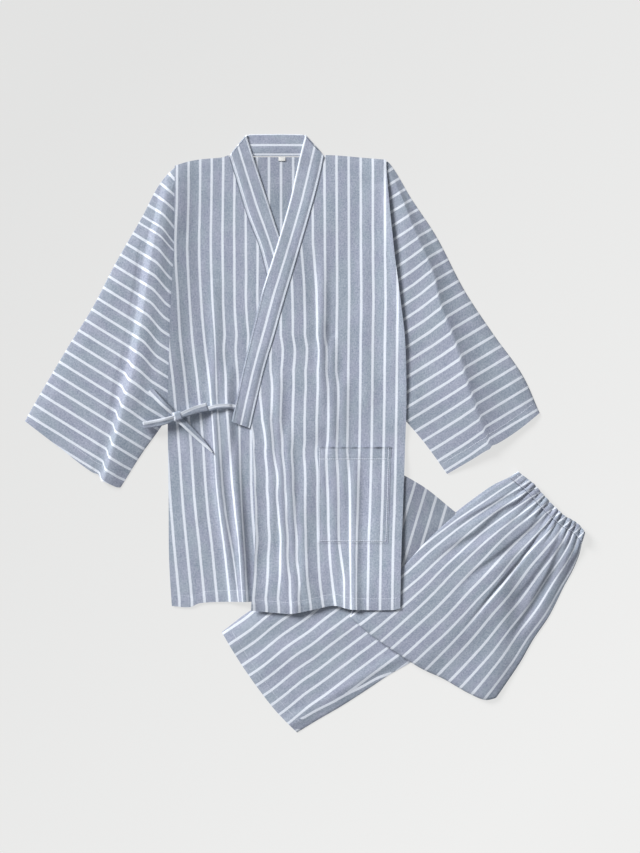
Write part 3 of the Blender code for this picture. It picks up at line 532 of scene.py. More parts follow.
def fullness(along, nose):
    """How full a flattened tube is at each point, from nothing at its folds."""
    return np.sqrt(1.0 - (1.0 - np.clip(from_folds(along) / nose, 0.0, 1.0)) ** 2)


def ring_of(upper, lower):
    """Values round a flattened tube, a closed ring for each row."""
    return np.concatenate([upper, lower[:, -2:0:-1]], axis=1)


def flat_tube(name, middle, normal, up, down, u, v=None, nose=EDGE_NOSE, hollow=True,
              material=COTTON):
    """A tube pressed flat: its walls, and the slit between them unless it is solid."""
    if v is None:
        v = run_length(middle) / PITCH + 0 * u
    points = []
    maps = []

    def add_wall(centre, out, above, below, across, run):
        ring = ring_of(centre + out * above[..., None], centre - out * below[..., None])
        points.append(ring.reshape(-1, 3))
        uv = joined(across, run)
        maps.append(ring_of(uv, uv).reshape(-1, 2))

    rows = len(middle)
    along = across_run(middle)
    full = fullness(along, nose)
    add_wall(middle, normal, up * full, down * full, u, v)
    number = np.arange(len(points[0])).reshape(rows, -1)
    faces = [quads(number[r + 1], number[r], True) for r in range(rows - 1)]
    if hollow:
        inset = SLIT_INSET * WALL
        place = inset + along * (1.0 - 2.0 * inset / along[:, -1:])

        def inward(values):
            if values.ndim > 2:
                return joined(*(inward(values[..., k]) for k in range(3)))
            return np.stack([np.interp(place[r], along[r], values[r]) for r in range(rows)])

        inner = inward(middle)
        inner_full = fullness(across_run(inner), nose)
        ends = 1 - np.minimum(1.0, inset / along[:, -1:])
        above, below = (np.maximum(inward(side * full) - WALL, SLIT_HALF) * inner_full * ends
                        for side in (up, down))
        add_wall(inner, inward(normal), above, below, inward(u), inward(v))
        hidden = number + number.size
        faces += [quads(hidden[r], hidden[r + 1], True) for r in range(rows - 1)]
        faces += [quads(number[0], hidden[0], True), quads(hidden[-1], number[-1], True)]
    else:
        half = number.shape[1] // 2 + 1
        for ring, turn in ((number[0], 1), (number[-1], -1)):
            lower = np.concatenate([ring[:1], ring[:half - 2:-1]])
            faces.append(quads(ring[:half], lower)[:, ::turn])
    # A solid tube's end starts and stops with a triangle, as a quad that names one point twice.
    faces = [list(dict.fromkeys(face)) for face in np.vstack(faces).tolist()]
    return add_mesh(name, np.vstack(points), faces, np.vstack(maps), material)


def raised(points, z):
    return np.concatenate([points, np.broadcast_to(z, points.shape[:2])[..., None]], axis=-1)


def finer_ends(count, first=0.35):
    """Shares from 0 to 1 with a short step at each end."""
    small = first / count
    inner = np.linspace(0.0, 1.0, count + 1)[1:-1]
    return np.concatenate(([0.0, small], inner, [1.0 - small, 1.0]))


# ------------------------------------------------------------- sewing

HEM_STEP = 0.35
SEAM_DEEP = 0.35
SEAM_HALF = 3.5
STITCH_LONG = 2.8
STITCH_STEP = 3.4
STITCH_HALF = 0.34
POCKET_STITCH_HALF = 0.62
stitch_lines = []


def hem_relief(up, deep):
    """A turned-up end is a little thicker, with a sunk line where it is sewn."""
    return HEM_STEP * smooth((deep - up) / 2.0) - SEAM_DEEP * bell(up - deep, SEAM_HALF)


def stitch(x, y, z, half=STITCH_HALF):
    """A line of stitches over these points, which lie on the cloth."""
    stitch_lines.append((joined(x, y, z), half))


def stitch_row(x, y, z, to_end, deep, short=3):
    """Stitches along the grid's row that lies deep from its end, a little short at each side."""
    row = np.argmin(np.abs(to_end[:, 0] - deep))
    keep = slice(short, -short)
    stitch(x[row, keep], y[row, keep], z[row, keep])


def make_stitching(name):
    """Every stitch is a short four-sided bead of thread, sunk into the cloth."""
    points = []
    faces = []
    for line, half in stitch_lines:
        along = running(np.linalg.norm(np.diff(line, axis=0), axis=1))
        for start in np.arange(1.0, along[-1] - STITCH_LONG, STITCH_STEP):
            ends = [np.array([np.interp(s, along, line[:, k]) for k in range(3)])
                    for s in (start, start + STITCH_LONG)]
            run = (ends[1] - ends[0]) / np.linalg.norm(ends[1] - ends[0])
            side = np.cross(run, (0.0, 0.0, 1.0))
            side *= half / np.linalg.norm(side)
            up = np.array([0.0, 0.0, half])
            base = len(points)
            for share, wide in ((0.0, 0.35), (0.25, 1.0), (0.75, 1.0), (1.0, 0.35)):
                centre = lerp(ends[0], ends[1], share) + up * 0.25
                points += [centre + corner * wide for corner in (-side, up, side, -up)]
            for ring in range(3):
                a = base + 4 * ring + np.arange(4)
                faces += quads(a, a + 4, True).tolist()
            faces += [[base + k for k in (3, 2, 1, 0)], [base + k for k in (12, 13, 14, 15)]]
    return add_mesh(name, points, faces, np.zeros((len(points), 2)), THREAD_MATERIAL)


def lay_tube(name, x, y, low, rise, u, v, to_end, deep, material):
    """A flattened sleeve or leg that lies on low, with its turned end sewn."""
    along = running(np.hypot(np.diff(x, axis=1), np.diff(y, axis=1)))
    half = 0.5 * TUBE_THICK * lerp(0.48, 1.0, smooth(from_folds(along) / 24.0))
    middle = joined(x, y, low + half)
    if v is None:
        v = across_run(middle) / PITCH
    piece = flat_tube(name, middle, upward(x), half + rise, half, u, v, material=material)
    top = middle[..., 2] + half + rise
    pile_up(x, y, top)
    stitch_row(x, y, top, to_end, deep)
    return piece


# ------------------------------------------------------------- jacket

# White stripe number 1 of each front, from the armhole, and the stripes' spacing.
LEFT_STRIPE = table(
    "y x pitch",
    (459, 140, 21.2), (319, 140, 21), (232, 141, 21.2), (162, 140, 21.2), (57, 139, 21.2),
    (-13, 138, 21.2), (-83, 136.5, 21.4), (-136, 135, 21.4), (-188, 133, 21.4), (-293, 131, 21.4))
RIGHT_STRIPE = table(
    "y x pitch",
    (460, -224, 20.2), (407, -224, 20), (319, -226.5, 20.5), (232, -222, 20), (162, -218, 20.8),
    (92, -210, 21), (57, -206.5, 21), (-13, -200.5, 21.2), (-118, -193.5, 21.2),
    (-206, -184.5, 22), (-293, -176, 22))
LEFT_FOLDS = fold_tables(
    ((57, 30, 0, 0), (-13, 30, 1.9, 0.5), (-66, 30, 4.8, 0.9), (-118, 30, 3, 0.6),
     (-188, 30, 2.4, 0.4), (-258, 30, 0, 0)),
    ((330, 30, 0, 0), (249, 30, 6, 3), (144, 29, 8, 3.8), (74, 31, 3, 1.8), (22, 32, 0, 0.5)),
    ((171, 46, 0, 0), (144, 46, 4, 1.8), (74, 49, 3.5, 2), (-13, 49, 5, 2.8),
     (-48, 48.5, 2.4, 1.6), (-153, 51, 3.3, 1.8), (-188, 51.5, 3.9, 2), (-223, 54, 1.6, 1.2),
     (-258, 57, 0, 0.8), (-305, 61, 5.5, 2)),
    ((109, 66.5, 0, 0), (74, 66.5, 3.8, 2), (-13, 66.5, 2.8, 1.8), (-83, 68, 1.6, 1.2),
     (-188, 70, 1.7, 1.2), (-223, 72, 5.6, 2.2), (-258, 73.5, 10.3, 3.2), (-311, 73.5, 10.5, 3.2)),
    ((-31, 86, 0, 0), (-83, 86, 5.4, 2.4), (-153, 85.5, 8.9, 3.6), (-223, 85, 11.5, 4.4),
     (-311, 86, 13.5, 5)),
    ((22, -31, 0, 0), (-13, -30.5, 3.1, 2), (-48, -29.5, 5.6, 3), (-118, -26, 7.5, 4),
     (-153, -24.5, 6.1, 3.4), (-223, -22, 5, 2.6), (-258, -19, 4.5, 2.4), (-290, -17, 6.7, 2.6),
     (-311, -17, 6.7, 2.6)),
    ((-100, -9, 0, 0), (-118, -9, 1.8, 1), (-153, -8, 3.3, 2), (-188, -6, 5.4, 2.8),
     (-223, -5, 4.7, 2.4), (-258, -4, 7, 2.6), (-290, -2, 1.8, 1.2), (-311, 0, 1, 0.6)),
    ((130, -46, 0, 0), (74, -47, 5, 2.4), (-13, -48, 4.2, 2.4), (-48, -44.5, 6.3, 3),
     (-83, -41, 8.8, 3.8), (-118, -40, 5.8, 3.2), (-153, -38.5, 8.8, 4), (-223, -36, 8.8, 3.6),
     (-258, -35, 3.7, 2), (-290, -34, 0, 0.6)),
    ((66, -72, 0, 0), (31, -67, 5, 2), (-13, -63, 9, 3.6), (-48, -59.5, 5.8, 2.6),
     (-83, -56, 3, 1.8), (-118, -56, 5.2, 2.2), (-153, -54, 2.6, 1.4), (-188, -53, 1.4, 0.8),
     (-223, -52, 0, 0.4)))
RIGHT_FOLDS = fold_tables(
    ((267, -160, 0, 0.6), (232, -158, 1.5, 1.4), (144, -157, 6.3, 2.4), (92, -160, 9, 3.2),
     (57, -159, 11.5, 3.8), (-13, -156, 13, 4.6), (-83, -152, 12.8, 5.2), (-118, -148, 12.1, 5.4),
     (-153, -143, 11.7, 5.2), (-188, -138, 9.8, 4.8), (-223, -133, 7.2, 4.2),
     (-305, -121, 3.5, 3)),
    ((171, -150, 0, 0), (144, -151, 3.3, 1), (92, -148, 3.8, 2.4), (40, -145, 3.9, 3),
     (0, -143, 3.9, 3.2), (-30, -142, 3.9, 2.6), (-83, -138.7, 3.5, 1.2), (-118, -134, 3.3, 1),
     (-153, -130, 4.5, 1.4), (-188, -125.6, 6.1, 2), (-223, -121, 10.3, 2.8),
     (-258, -117, 13.5, 3.6), (-305, -113, 16, 3.8)),
    ((22, -127, 0, 0), (-13, -126, 2.2, 1.6), (-48, -125, 3.4, 3.8), (-83, -122.5, 5, 5.4),
     (-118, -119, 7, 6.6), (-153, -116, 8.6, 7.4), (-188, -113.7, 12, 7.6), (-223, -111, 13, 7.6),
     (-305, -106, 16, 7.4)),
    ((40, -116, 0, 0), (5, -115, 1.8, 0), (-48, -113, 3.2, 0), (-118, -109.5, 4.6, 0),
     (-188, -106, 5.2, 0), (-240, -102, 4, 0), (-290, -98, 0, 0)),
    ((127, -134, 0, 0), (92, -136, 0, 2.4), (57, -137, 0, 4.2), (22, -135, 0, 4.6),
     (-13, -133, 0, 4), (-50, -132, 0, 2.4), (-90, -126, 0, 0)))
FOLD_LIT = 15.0
FOLD_SHADED = 17.0
FOLD_WIDE = 11.0
HEM_DEEP = 20.0
# Broad soft waves: how high, how far to either side, and their middle line.
RIGHT_SWELLS = ((1.0, 14.0, ((-215, 20), (-196, -60), (-188, -150))),
                (0.8, 20.0, ((-205, 330), (-196, 200), (-178, 70))))
LEFT_SWELLS = ((1.0, 22.0, ((112, 420), (104, 250), (110, 60))),
               (0.9, 20.0, ((118, -30), (122, -160), (112, -300))),
               (1.0, 20.0, ((8, -60), (6, -200), (16, -306))),
               (0.8, 18.0, ((-62, -150), (-60, -240), (-66, -312))))


def body_left(y):
    return column(BODY, "y", "left", y)


def body_right(y):
    return column(BODY, "y", "right", y)


def left_front_edge(y):
    band = column(COLLAR, "y_out", "left_out", y) + 0.8
    return np.where(y < LEFT_EDGE[0].y, column(LEFT_EDGE, "y", "x", y), band)


def right_front_edge(y):
    band = column(COLLAR, "y_out", "right_out", y) - 0.8
    return np.where(y < COLLAR[-1].y_out, RIGHT_EDGE_X, band)


def fold_rise(x, y, folds):
    """Height of the folds; each has a lit side to the left and a shaded side to the right."""
    rise = np.zeros(np.shape(x))
    for fold in folds:
        off = x - column(fold, "y", "x", y)
        high = column(fold, "y", "high", y) * (y <= fold[0].y)
        rise = np.maximum(rise, high * bell(off, np.where(off < 0, FOLD_LIT, FOLD_SHADED)))
    return rise


def stripe_count(x, y, stripe, folds, direction):
    """Stripes passed since the armhole, counting the cloth that is taken up in folds."""
    pitch = column(stripe, "y", "pitch", y)
    count = 1.0 + direction * (x - column(stripe, "y", "x", y)) / pitch
    for fold in folds:
        past = smooth(direction * (x - column(fold, "y", "x", y)) / FOLD_WIDE + 0.5)
        count += past * column(fold, "y", "take", y) * (y <= fold[0].y) / pitch
    return count


def left_count(x, y):
    return stripe_count(x, y, LEFT_STRIPE, LEFT_FOLDS, -1.0)


def right_count(x, y):
    return stripe_count(x, y, RIGHT_STRIPE, RIGHT_FOLDS, 1.0)


def swelled(rise, x, y, swells):
    for high, reach, line in swells:
        rise = rise + high * bell(off_line(x, y, line)[0], reach)
    return rise


def right_extra(x, y):
    """Slack beside the lapping front, and small pulls below the bow."""
    return swelled(1.2 * bell(y - 30.0, 26.0) * bell(x + 196.0, 46.0), x, y, RIGHT_SWELLS)


def left_extra(x, y):
    """Broad soft waves, a short pinch at the chest, and the armhole's raised seam."""
    pinch = off_line(x, y, ((38, 184), (46, 173), (54, 176)))[0]
    rise = swelled(0.0, x, y, LEFT_SWELLS) - 1.3 * bell(pinch, 7.0) * bell(x - 45.0, 16.0)
    return rise + 2.4 * smooth((x - body_right(y) + 15.0) / 14.0) \
        * smooth((y - 30.0) / 50.0) * smooth((462.0 - y) / 40.0)


def make_back():
    columns = finer_ends(52)
    top = along_x(SHOULDER, lerp(SHOULDER[0][0], SHOULDER[-1][0], columns))
    top = np.minimum(top, NECK_SEAM) - BACK_DROP
    y = lerp(top, BACK_HEM, np.linspace(0.0, 1.0, 110)[:, None])
    x = lerp(body_left(y) + BACK_INSET, body_right(y) - BACK_INSET, columns)
    z = bed(3, 3.0)(x, y) + WALL
    z += 0.25 * slack(x, y) * smooth((y - 330.0) / 60.0)
    pile_up(x, y, z)
    return wall_sheet("Jacket_Back", x, y, z, (x - BACK_STRIPE_X) / PITCH, y / PITCH,
                      material=COTTON_INSIDE_AND_SHADE)


def front_rows(hem, start, end, columns):
    """y of a front's grid from the shoulder to the hem; start and end are x at the shoulder."""
    top = along_x(SHOULDER, lerp(start, end, columns))
    foot = along_x(hem, lerp(hem[0][0], hem[-1][0], columns))
    return lerp(top, foot, finer_ends(200)[:, None])


def lay_front(name, x, y, base, hem, folds, extra, count, hem_from, hem_to, stitches):
    """A front panel over its grid, and the height of its upper side as a function of place."""
    def height(px, py):
        rise = fold_rise(px, py, folds) + extra(px, py)
        rise = rise + hem_relief(py - along_x(hem, px), HEM_DEEP)
        return base(px, py) + WALL + np.maximum(LIFT + rise + 0.8 * slack(px, py), 0.0)

    z = height(x, y)
    piece = wall_sheet(name, x, y, z, count(x, y), y / PITCH)
    pile_up(x, y, z)
    hem_x = np.linspace(hem_from, hem_to, stitches)
    hem_y = along_x(hem, hem_x) + HEM_DEEP
    stitch(hem_x, hem_y, height(hem_x, hem_y))
    return piece, height


def make_right_front(base):
    """The under front; its last few columns lie hidden under the lapping one."""
    hidden_from = 0.8
    columns = np.concatenate([finer_ends(46)[:-1] * hidden_from,
                              np.linspace(hidden_from, 1.0, 14)])
    y = front_rows(RIGHT_HEM, SHOULDER[0][0], COLLAR[0].right_out, columns)
    left = body_left(y)
    right = right_front_edge(y)
    shown = np.minimum((left_front_edge(y) + UNDER_LAP - left) / (right - left), hidden_from)
    inner = columns / hidden_from * shown
    outer = lerp(shown, 1.0, (columns - hidden_from) / (1.0 - hidden_from))
    x = lerp(left, right, np.where(columns <= hidden_from, inner, outer))
    return lay_front("Jacket_Front_Under", x, y, base, RIGHT_HEM, RIGHT_FOLDS, right_extra,
                     right_count, -230.0, -98.0, 90)[0]


def make_left_front(base):
    columns = finer_ends(74)
    y = front_rows(LEFT_HEM, COLLAR[0].left_out, SHOULDER[-1][0], columns)
    x = lerp(left_front_edge(y), body_right(y), columns)
    return lay_front("Jacket_Front_Lapping", x, y, base, LEFT_HEM, LEFT_FOLDS, left_extra,
                     left_count, -90.0, 163.0, 160)


def make_pocket(height):
    """A patch pocket whose stripes meet the panel's; its mouth stands a little open."""
    rows = np.unique(np.concatenate([finer_ends(56), np.linspace(0.0, 0.05, 11)]))[:, None]
    columns = finer_ends(60)
    y = lerp(POCKET_TOP, POCKET_FOOT, rows) - POCKET_SAG * arch(columns) * (1.0 - rows)
    x = lerp(left_front_edge(y), body_right(y), lerp(*POCKET_SIDES, columns))

    def pocket_height(px, py):
        inner = (px - left_front_edge(py)) / (body_right(py) - left_front_edge(py))
        mid = np.clip((inner - POCKET_SIDES[0]) / (POCKET_SIDES[1] - POCKET_SIDES[0]), 0, 1)
        from_top = POCKET_TOP - py
        down = from_top / (POCKET_TOP - POCKET_FOOT)
        belly = arch(mid) * (0.4 * smooth(1.0 - down) + 0.3 * arch(down))
        hem = 0.35 * smooth((POCKET_HEM - from_top) / 2.0)
        sunk = SEAM_DEEP * bell(from_top - POCKET_HEM, SEAM_HALF)
        from_edge = np.minimum(np.minimum(mid, 1.0 - mid) * POCKET_WIDE,
                               (1.0 - down) * POCKET_TALL)
        sewn = 0.75 * (1.0 - smooth((from_edge - 1.0) / 6.0))
        pucker = 0.8 + 0.5 * np.sin(0.31 * px) + 1.0 * bell(px - 127.0, 13.0)
        gape = pucker * 1.3 * (1.0 - smooth(from_top / 4.5)) * smooth(mid / 0.05)
        return height(px, py) + 0.35 + POCKET_WALL + belly + hem + gape - sunk - sewn

    z = pocket_height(x, y)
    piece = wall_sheet("Pocket_Patch", x, y, z, left_count(x, y), y / PITCH + 3.0, POCKET_WALL)
    pile_up(x, y, z)
    for line_x, line_y in ((x[:, 2] + 1.6, y[:, 2]), (x[:, -3] - 1.6, y[:, -3]),
                           (x[-3], y[-3] + 1.6), (x[0], 0 * x[0] + POCKET_TOP - POCKET_HEM)):
        px, py = line_x[2:-2], line_y[2:-2]
        stitch(px, py, pocket_height(px, py), POCKET_STITCH_HALF)
    return piece


# ------------------------------------------------------------- collar

BAND_COLUMNS = np.concatenate(([0.0, 0.02], np.linspace(0.06, 0.94, 13), [0.98, 1.0]))
TURN = np.radians((0.0, 30.0, 60.0, 90.0, 120.0, 150.0, 180.0))


def band_points(side, steps):
    """Sewn edge to neck edge of one side of the band, at steps that count COLLAR's rows."""
    def edge(name):
        return joined(*(through(np.arange(len(COLLAR)), [getattr(row, key + name)
                                                         for row in COLLAR], steps)
                        for key in (side + "_", "y_")))[:, None, :]
    return lerp(edge("out"), edge("in"), BAND_COLUMNS[None, :, None])


def lay_band(side, base):
    """Middle points of one side of the band, from the shoulder down, laid on the heap."""
    flat = band_points(side, np.linspace(0.0, len(COLLAR) - 1, 150)[1:])
    x, y = split(flat)
    crown = 0.35 * arch(BAND_COLUMNS)
    z = base(x, y) + 0.5 * COLLAR_THICK + 0.3 + crown + 0.4 * slack(x, y)
    z -= 1.55 * (1.0 - smooth(BAND_COLUMNS / 0.28))     # the sewn edge is drawn down
    neck = COLLAR_THICK + 2 * AIR + 0.6
    z = np.maximum(z, neck * smooth((y - 440.0) / 45.0) + 0.5 * COLLAR_THICK)
    pile_up(x, y, z + 0.5 * COLLAR_THICK)
    return raised(flat, z)


def shoulder_turn(side, first):
    """The band turning over at the shoulder, down to the band behind the neck."""
    flat = band_points(side, np.array([0.0]))[0]
    run = flat[-1] - flat[0]
    run /= np.linalg.norm(run)
    out = np.array([-run[1], run[0]]) * np.sign(run[0])
    low_z = 0.5 * COLLAR_THICK + AIR
    radius = 0.5 * (first[:, 2] - low_z)
    base = flat - out * (radius + 0.5 * COLLAR_THICK)[:, None]
    return turn_over(base, out, radius, low_z + radius, radius, TURN)


def make_collar(right, left):
    """One band: up the under front, across the neck, and down the lapping front."""
    row = COLLAR[0]
    shares = np.linspace(0.0, 1.0, 26)[1:-1]
    bow = arch(shares)
    outer = joined(lerp(row.right_out, row.left_out, shares), 0 * shares + NECK_SEAM + 0.3)
    inner = joined(lerp(row.right_in, row.left_in, shares), row.y_in + 0.8 * bow)
    neck = lerp(outer[:, None, :], inner[:, None, :], BAND_COLUMNS[None, :, None])
    neck = raised(neck, 0.5 * COLLAR_THICK + AIR
                  + 0.5 * bow[:, None] * arch(BAND_COLUMNS))
    right_turn, right_normals = shoulder_turn("right", right[0])
    left_turn, left_normals = shoulder_turn("left", left[0])
    middle = np.concatenate([right[::-1], right_turn, neck, left_turn[::-1], left])
    normal = np.concatenate([upward(right), right_normals, -upward(neck), left_normals[::-1],
                             upward(left)])
    lower = smooth((300.0 - middle[..., 1]) / 90.0)
    lower = lower * (np.arange(len(middle)) > len(middle) // 2)[:, None]
    edge = lerp(-0.07, 0.13, lower)         # the stripes' place at the band's neck edge
    first = len(right) + len(right_turn)
    edge[first:first + len(neck)] = 0.06
    share = BAND_COLUMNS
    u = np.where(share < 0.5, lerp(1.0, 2.20, 1.0 - 2.0 * share), lerp(1.0, edge, 2.0 * share - 1))
    half = 0.5 * COLLAR_THICK * lerp(0.22, 1.0, smooth(share / 0.28))
    half = half * (1.0 - 0.68 * lower * smooth((share - 0.72) / 0.24))
    piece = flat_tube("Collar_Band", middle, normal, half, half, u, nose=1.4, hollow=False)
    for column_number in (2, -3):
        for band in (right, left):
            x, y, z = band[:, column_number].T
            stitch(x, y, z + 0.5 * COLLAR_THICK)
    return piece


def make_label(base):
    shares = np.linspace(0.0, 1.0, 9)
    x, y = np.meshgrid(LABEL["x"] + (shares - 0.5) * LABEL["wide"],
                       LABEL["y"] - (1 - shares) * LABEL["tall"])
    z = base(x, y) + 0.9 + 0.4 * arch(shares)
    x, y = x[::-1], y[::-1]
    return wall_sheet("Neck_Label", x, y, z, x / PITCH, y / PITCH, LABEL_WALL, LABEL_MATERIAL)


# ------------------------------------------------------------- sleeves

LEFT_CREASE = table(
    "stripe x jog high",
    (1, -243, 0, 1.5), (4, -259, 0, 5.5), (8, -276.5, 0, 7.5), (12, -290.5, 0, 7.8),
    (15, -302, 0.5, 8.5), (16, -306, 4, 9), (18, -318.5, 7.5, 8), (20, -329, 9.8, 6.6),
    (22, -340, 10, 5.4), (24, -352, 11, 4.6), (25.4, -361, 11, 4.2))
RIGHT_CREASE = table(
    "stripe x jog high",
    (1, 148, 0, 1.5), (3.5, 170.5, 1, 4.5), (6, 189, 2, 7), (10.3, 224, 3, 9.5),
    (13, 238, 4, 11.5), (15, 255.5, 5, 13), (17, 271, 5.2, 13.5), (19, 284, 5.2, 13.5),
    (20, 291, 5.2, 12.5), (22, 305.5, 5.2, 10.5), (24, 320.5, 5.2, 8.5), (25.4, 331, 5, 7.5))
# x of the valley beside the left sleeve's crease, by stripe.
LEFT_VALLEY = (
    (1, -230), (4, -236), (7, -245), (10, -254), (12, -262.5), (14, -271), (16, -280), (18, -290),
    (20, -298), (22, -306), (25.4, -321))
# Stations: stripe numbers, and how far along an edge line each stripe meets it.
LEFT_TOP_STATIONS = (
    (0, 0), (1, 28.2), (5, 115.7), (6, 128.3), (24, 518), (24.7, 532), (25.6, 550))
LEFT_UNDER_STATIONS = (
    (0, 0), (1, 31.5), (3, 81), (4, 113), (5, 139), (6, 149.6), (7, 177.6), (10, 251), (13, 327.6),
    (17, 425), (18, 448), (19, 470.4), (24, 577), (24.9, 594), (25.6, 606))
RIGHT_TOP_STATIONS = (
    (0, 0), (1, 30.4), (7, 155), (11, 236), (14, 301), (17, 372), (20, 438), (24, 523),
    (25.6, 556))
RIGHT_UNDER_STATIONS = (
    (0, 0), (1, 21), (4, 92), (7, 166), (10, 239.5), (13, 311), (16, 386), (18, 437), (19, 459),
    (20, 482), (24, 569), (24.5, 578.5), (25.6, 600))
# Stripe number at the cuff, by share across the sleeve.
LEFT_CUT = ((0, 24.6), (0.4, 25), (0.74, 25.3), (0.84, 25), (1, 24.8))
RIGHT_CUT = ((0, 24.32), (0.4, 24.5), (0.52, 24.72), (0.75, 24.66), (1, 24.35))
SLEEVE_ROWS = 5             # grid rows for each stripe
SLEEVE_COLUMNS = 84
CUFF_DEEP = 19.0
LEFT_SLOPE = 0.62           # how the stripes fall, from the upper fold to the underarm's side
RIGHT_SLOPE = 0.60
# The left crease, where it is soft and where it is sharp: width of its step in the stripes, how
# far its lit side begins before it, and how wide that side is.
CREASE_STEP = (7.0, 3.0)
CREASE_FOOT = (5.5, 2.5)
CREASE_LIT = (14.0, 8.0)


def stripe_line(points, stations, stripes):
    """x and y on a line, and past its end, at stripe numbers."""
    along = lengths(points)
    distance = np.interp(stripes, *zip(*stations))
    ends = np.asarray(points[-1], float) - np.asarray(points[-2], float)
    past = np.maximum(distance - along[-1], 0.0)[..., None]
    return split(through(along, points, distance) + past * ends / np.linalg.norm(ends))


def left_sleeve_shape(stripes, x, ax, ay, bx, by, crease, jog, high):
    """y of the stripes at x, and how high the sleeve rises there over its low form.

    Each stripe runs from a, on the sleeve's left side, to b, and steps down at the crease.
    """
    valley = along_x(LEFT_VALLEY, stripes)
    sharp = smooth((stripes - 17.0) / 5.0)
    first = smooth((x - crease) / lerp(*CREASE_STEP, sharp) + 0.5) * jog
    rest = (ay - by) - LEFT_SLOPE * (bx - ax) - jog
    low, here, top = (smooth((at - valley) / 30.0 + 0.5) for at in (ax, x, bx))
    second = (here - low) / np.maximum(top - low, 0.05)
    y = ay - LEFT_SLOPE * (x - ax) - first - second * rest
    off = x - crease
    foot = lerp(*CREASE_FOOT, sharp)
    lit = smooth((off + foot) / lerp(*CREASE_LIT, sharp))
    fall = 1.0 - 0.30 * smooth((off - 12.0) / 26.0)
    toward = 1.0 - 0.55 * smooth((x - valley + 10.0) / (bx - valley + 2.0)) \
        - 0.45 * smooth((x - bx + 34.0) / 33.0)
    past = np.clip((off - 6.0) / np.maximum(bx - crease - 6.0, 8.0), 0.0, 1.0)
    toward = lerp(toward, 1.0 - 0.94 * past, sharp)
    rise = high * lit * fall * toward + 0.5 * smooth((x - ax) / 50.0) * toward
    return y, rise - 1.4 * bell(off + 4.0 + foot, 9.0) * smooth(high / 4.0)


def right_sleeve_shape(_stripes, x, ax, ay, bx, by, crease, jog, high):
    """As the left one; it climbs to its crease from the left and falls to its upper fold.

    It has no valley beside its crease, so the stripes' numbers aren't needed.
    """
    rest = by - RIGHT_SLOPE * (bx - ax) - ay - jog
    low = 1.0 - smooth((x - crease) / 5.0 + 0.5)
    near = 1.0 - smooth((x - crease + 34.0) / 34.0)
    far = np.clip((crease - x) / np.maximum(crease - ax, 8.0), 0.0, 1.0)
    y = by - RIGHT_SLOPE * (bx - x) - jog * low - rest * (0.45 * near + 0.55 * far)
    off = x - crease
    past = np.clip(off / np.maximum(bx - crease, 10.0) / 0.62, 0.0, 1.0)
    beyond = 1.0 - 0.12 * (1.0 - np.exp(-np.maximum(off, 0.0) / 6.0)) \
        - 0.64 * (1.0 - (1.0 - past) ** 1.5) - 0.10 * smooth((x - bx + 24.0) / 23.0)
    before = lerp(0.15, 1.0, np.clip(1.0 + off / 72.0, 0.0, 1.0) ** 1.7)
    return y, high * np.where(off < 0, before, beyond) * smooth((x - ax - 9.0) / 28.0)


def make_sleeve(name, sides, crease, cut, shape, material):
    """sides: for the left and the right side of the sleeve, its line and its stations."""
    rows = np.linspace(0.25, SLEEVE_STRIPES, int(SLEEVE_STRIPES * SLEEVE_ROWS))
    rows = np.concatenate([rows[:-1], [SLEEVE_STRIPES - 0.04, SLEEVE_STRIPES]])[:, None]
    share = finer_ends(SLEEVE_COLUMNS, 0.5)[None, :]
    longer = along_x(cut, share) - SLEEVE_STRIPES
    stripes = rows + longer * smooth((rows - 21.5) / 3.0)
    (ax, ay), (bx, by) = (stripe_line(line, stations, stripes) for line, stations in sides)
    x = lerp(ax, bx, share)
    y, rise = shape(stripes, x, ax, ay, bx, by,
                    *(column(crease, "stripe", key, stripes) for key in ("x", "jog", "high")))
    y = lerp(lerp(ay, by, share), y, smooth((stripes - 1.5) / 3.0))
    to_cuff = (SLEEVE_STRIPES + longer - stripes) * PITCH
    rise = rise + 0.8 * slack(x, y) + 0.3 + hem_relief(to_cuff, CUFF_DEEP)
    return lay_tube(name, x, y, bed(2, 2.5)(x, y), np.maximum(rise, 0.0), stripes, None, to_cuff,
                    CUFF_DEEP, material)


# ------------------------------------------------------------- trousers

LEG_HEM = 15.0
LOWER_STRIPES = (0.597, -0.796)     # across the lower leg's stripes, as they lie
LOWER_FIRST = -8.234
LOWER_CREASE = (
    (-30, -512), (-14, -503), (0, -495.5), (19, -484.5), (46, -471), (73, -456), (99.5, -443),
    (126.5, -428), (150, -420), (170, -418), (330, -315), (484, -210))
Valley = namedtuple("Valley", "deep reach points")
LEG_VALLEYS = (
    Valley(3.3, 5, ((447, -150), (427, -159), (413, -174), (374, -227), (332, -275), (268, -358))),
    Valley(3.2, 13, ((466, -184), (446, -208), (427, -256), (398, -306), (350, -380))),
    Valley(3.6, 16, ((405, -112), (347, -139), (304, -179), (252, -209), (205, -248))),
    Valley(1.2, 11, ((482, -198), (466, -240), (436, -300), (404, -352))),
    Valley(2.6, 12, ((428, -138), (390, -176), (345, -212), (292, -250), (250, -296))),
    Valley(2.8, 10, ((388, -96), (340, -122), (290, -150), (245, -182))),
    Valley(1.8, 11, ((455, -170), (430, -215), (392, -268), (350, -318))),
)
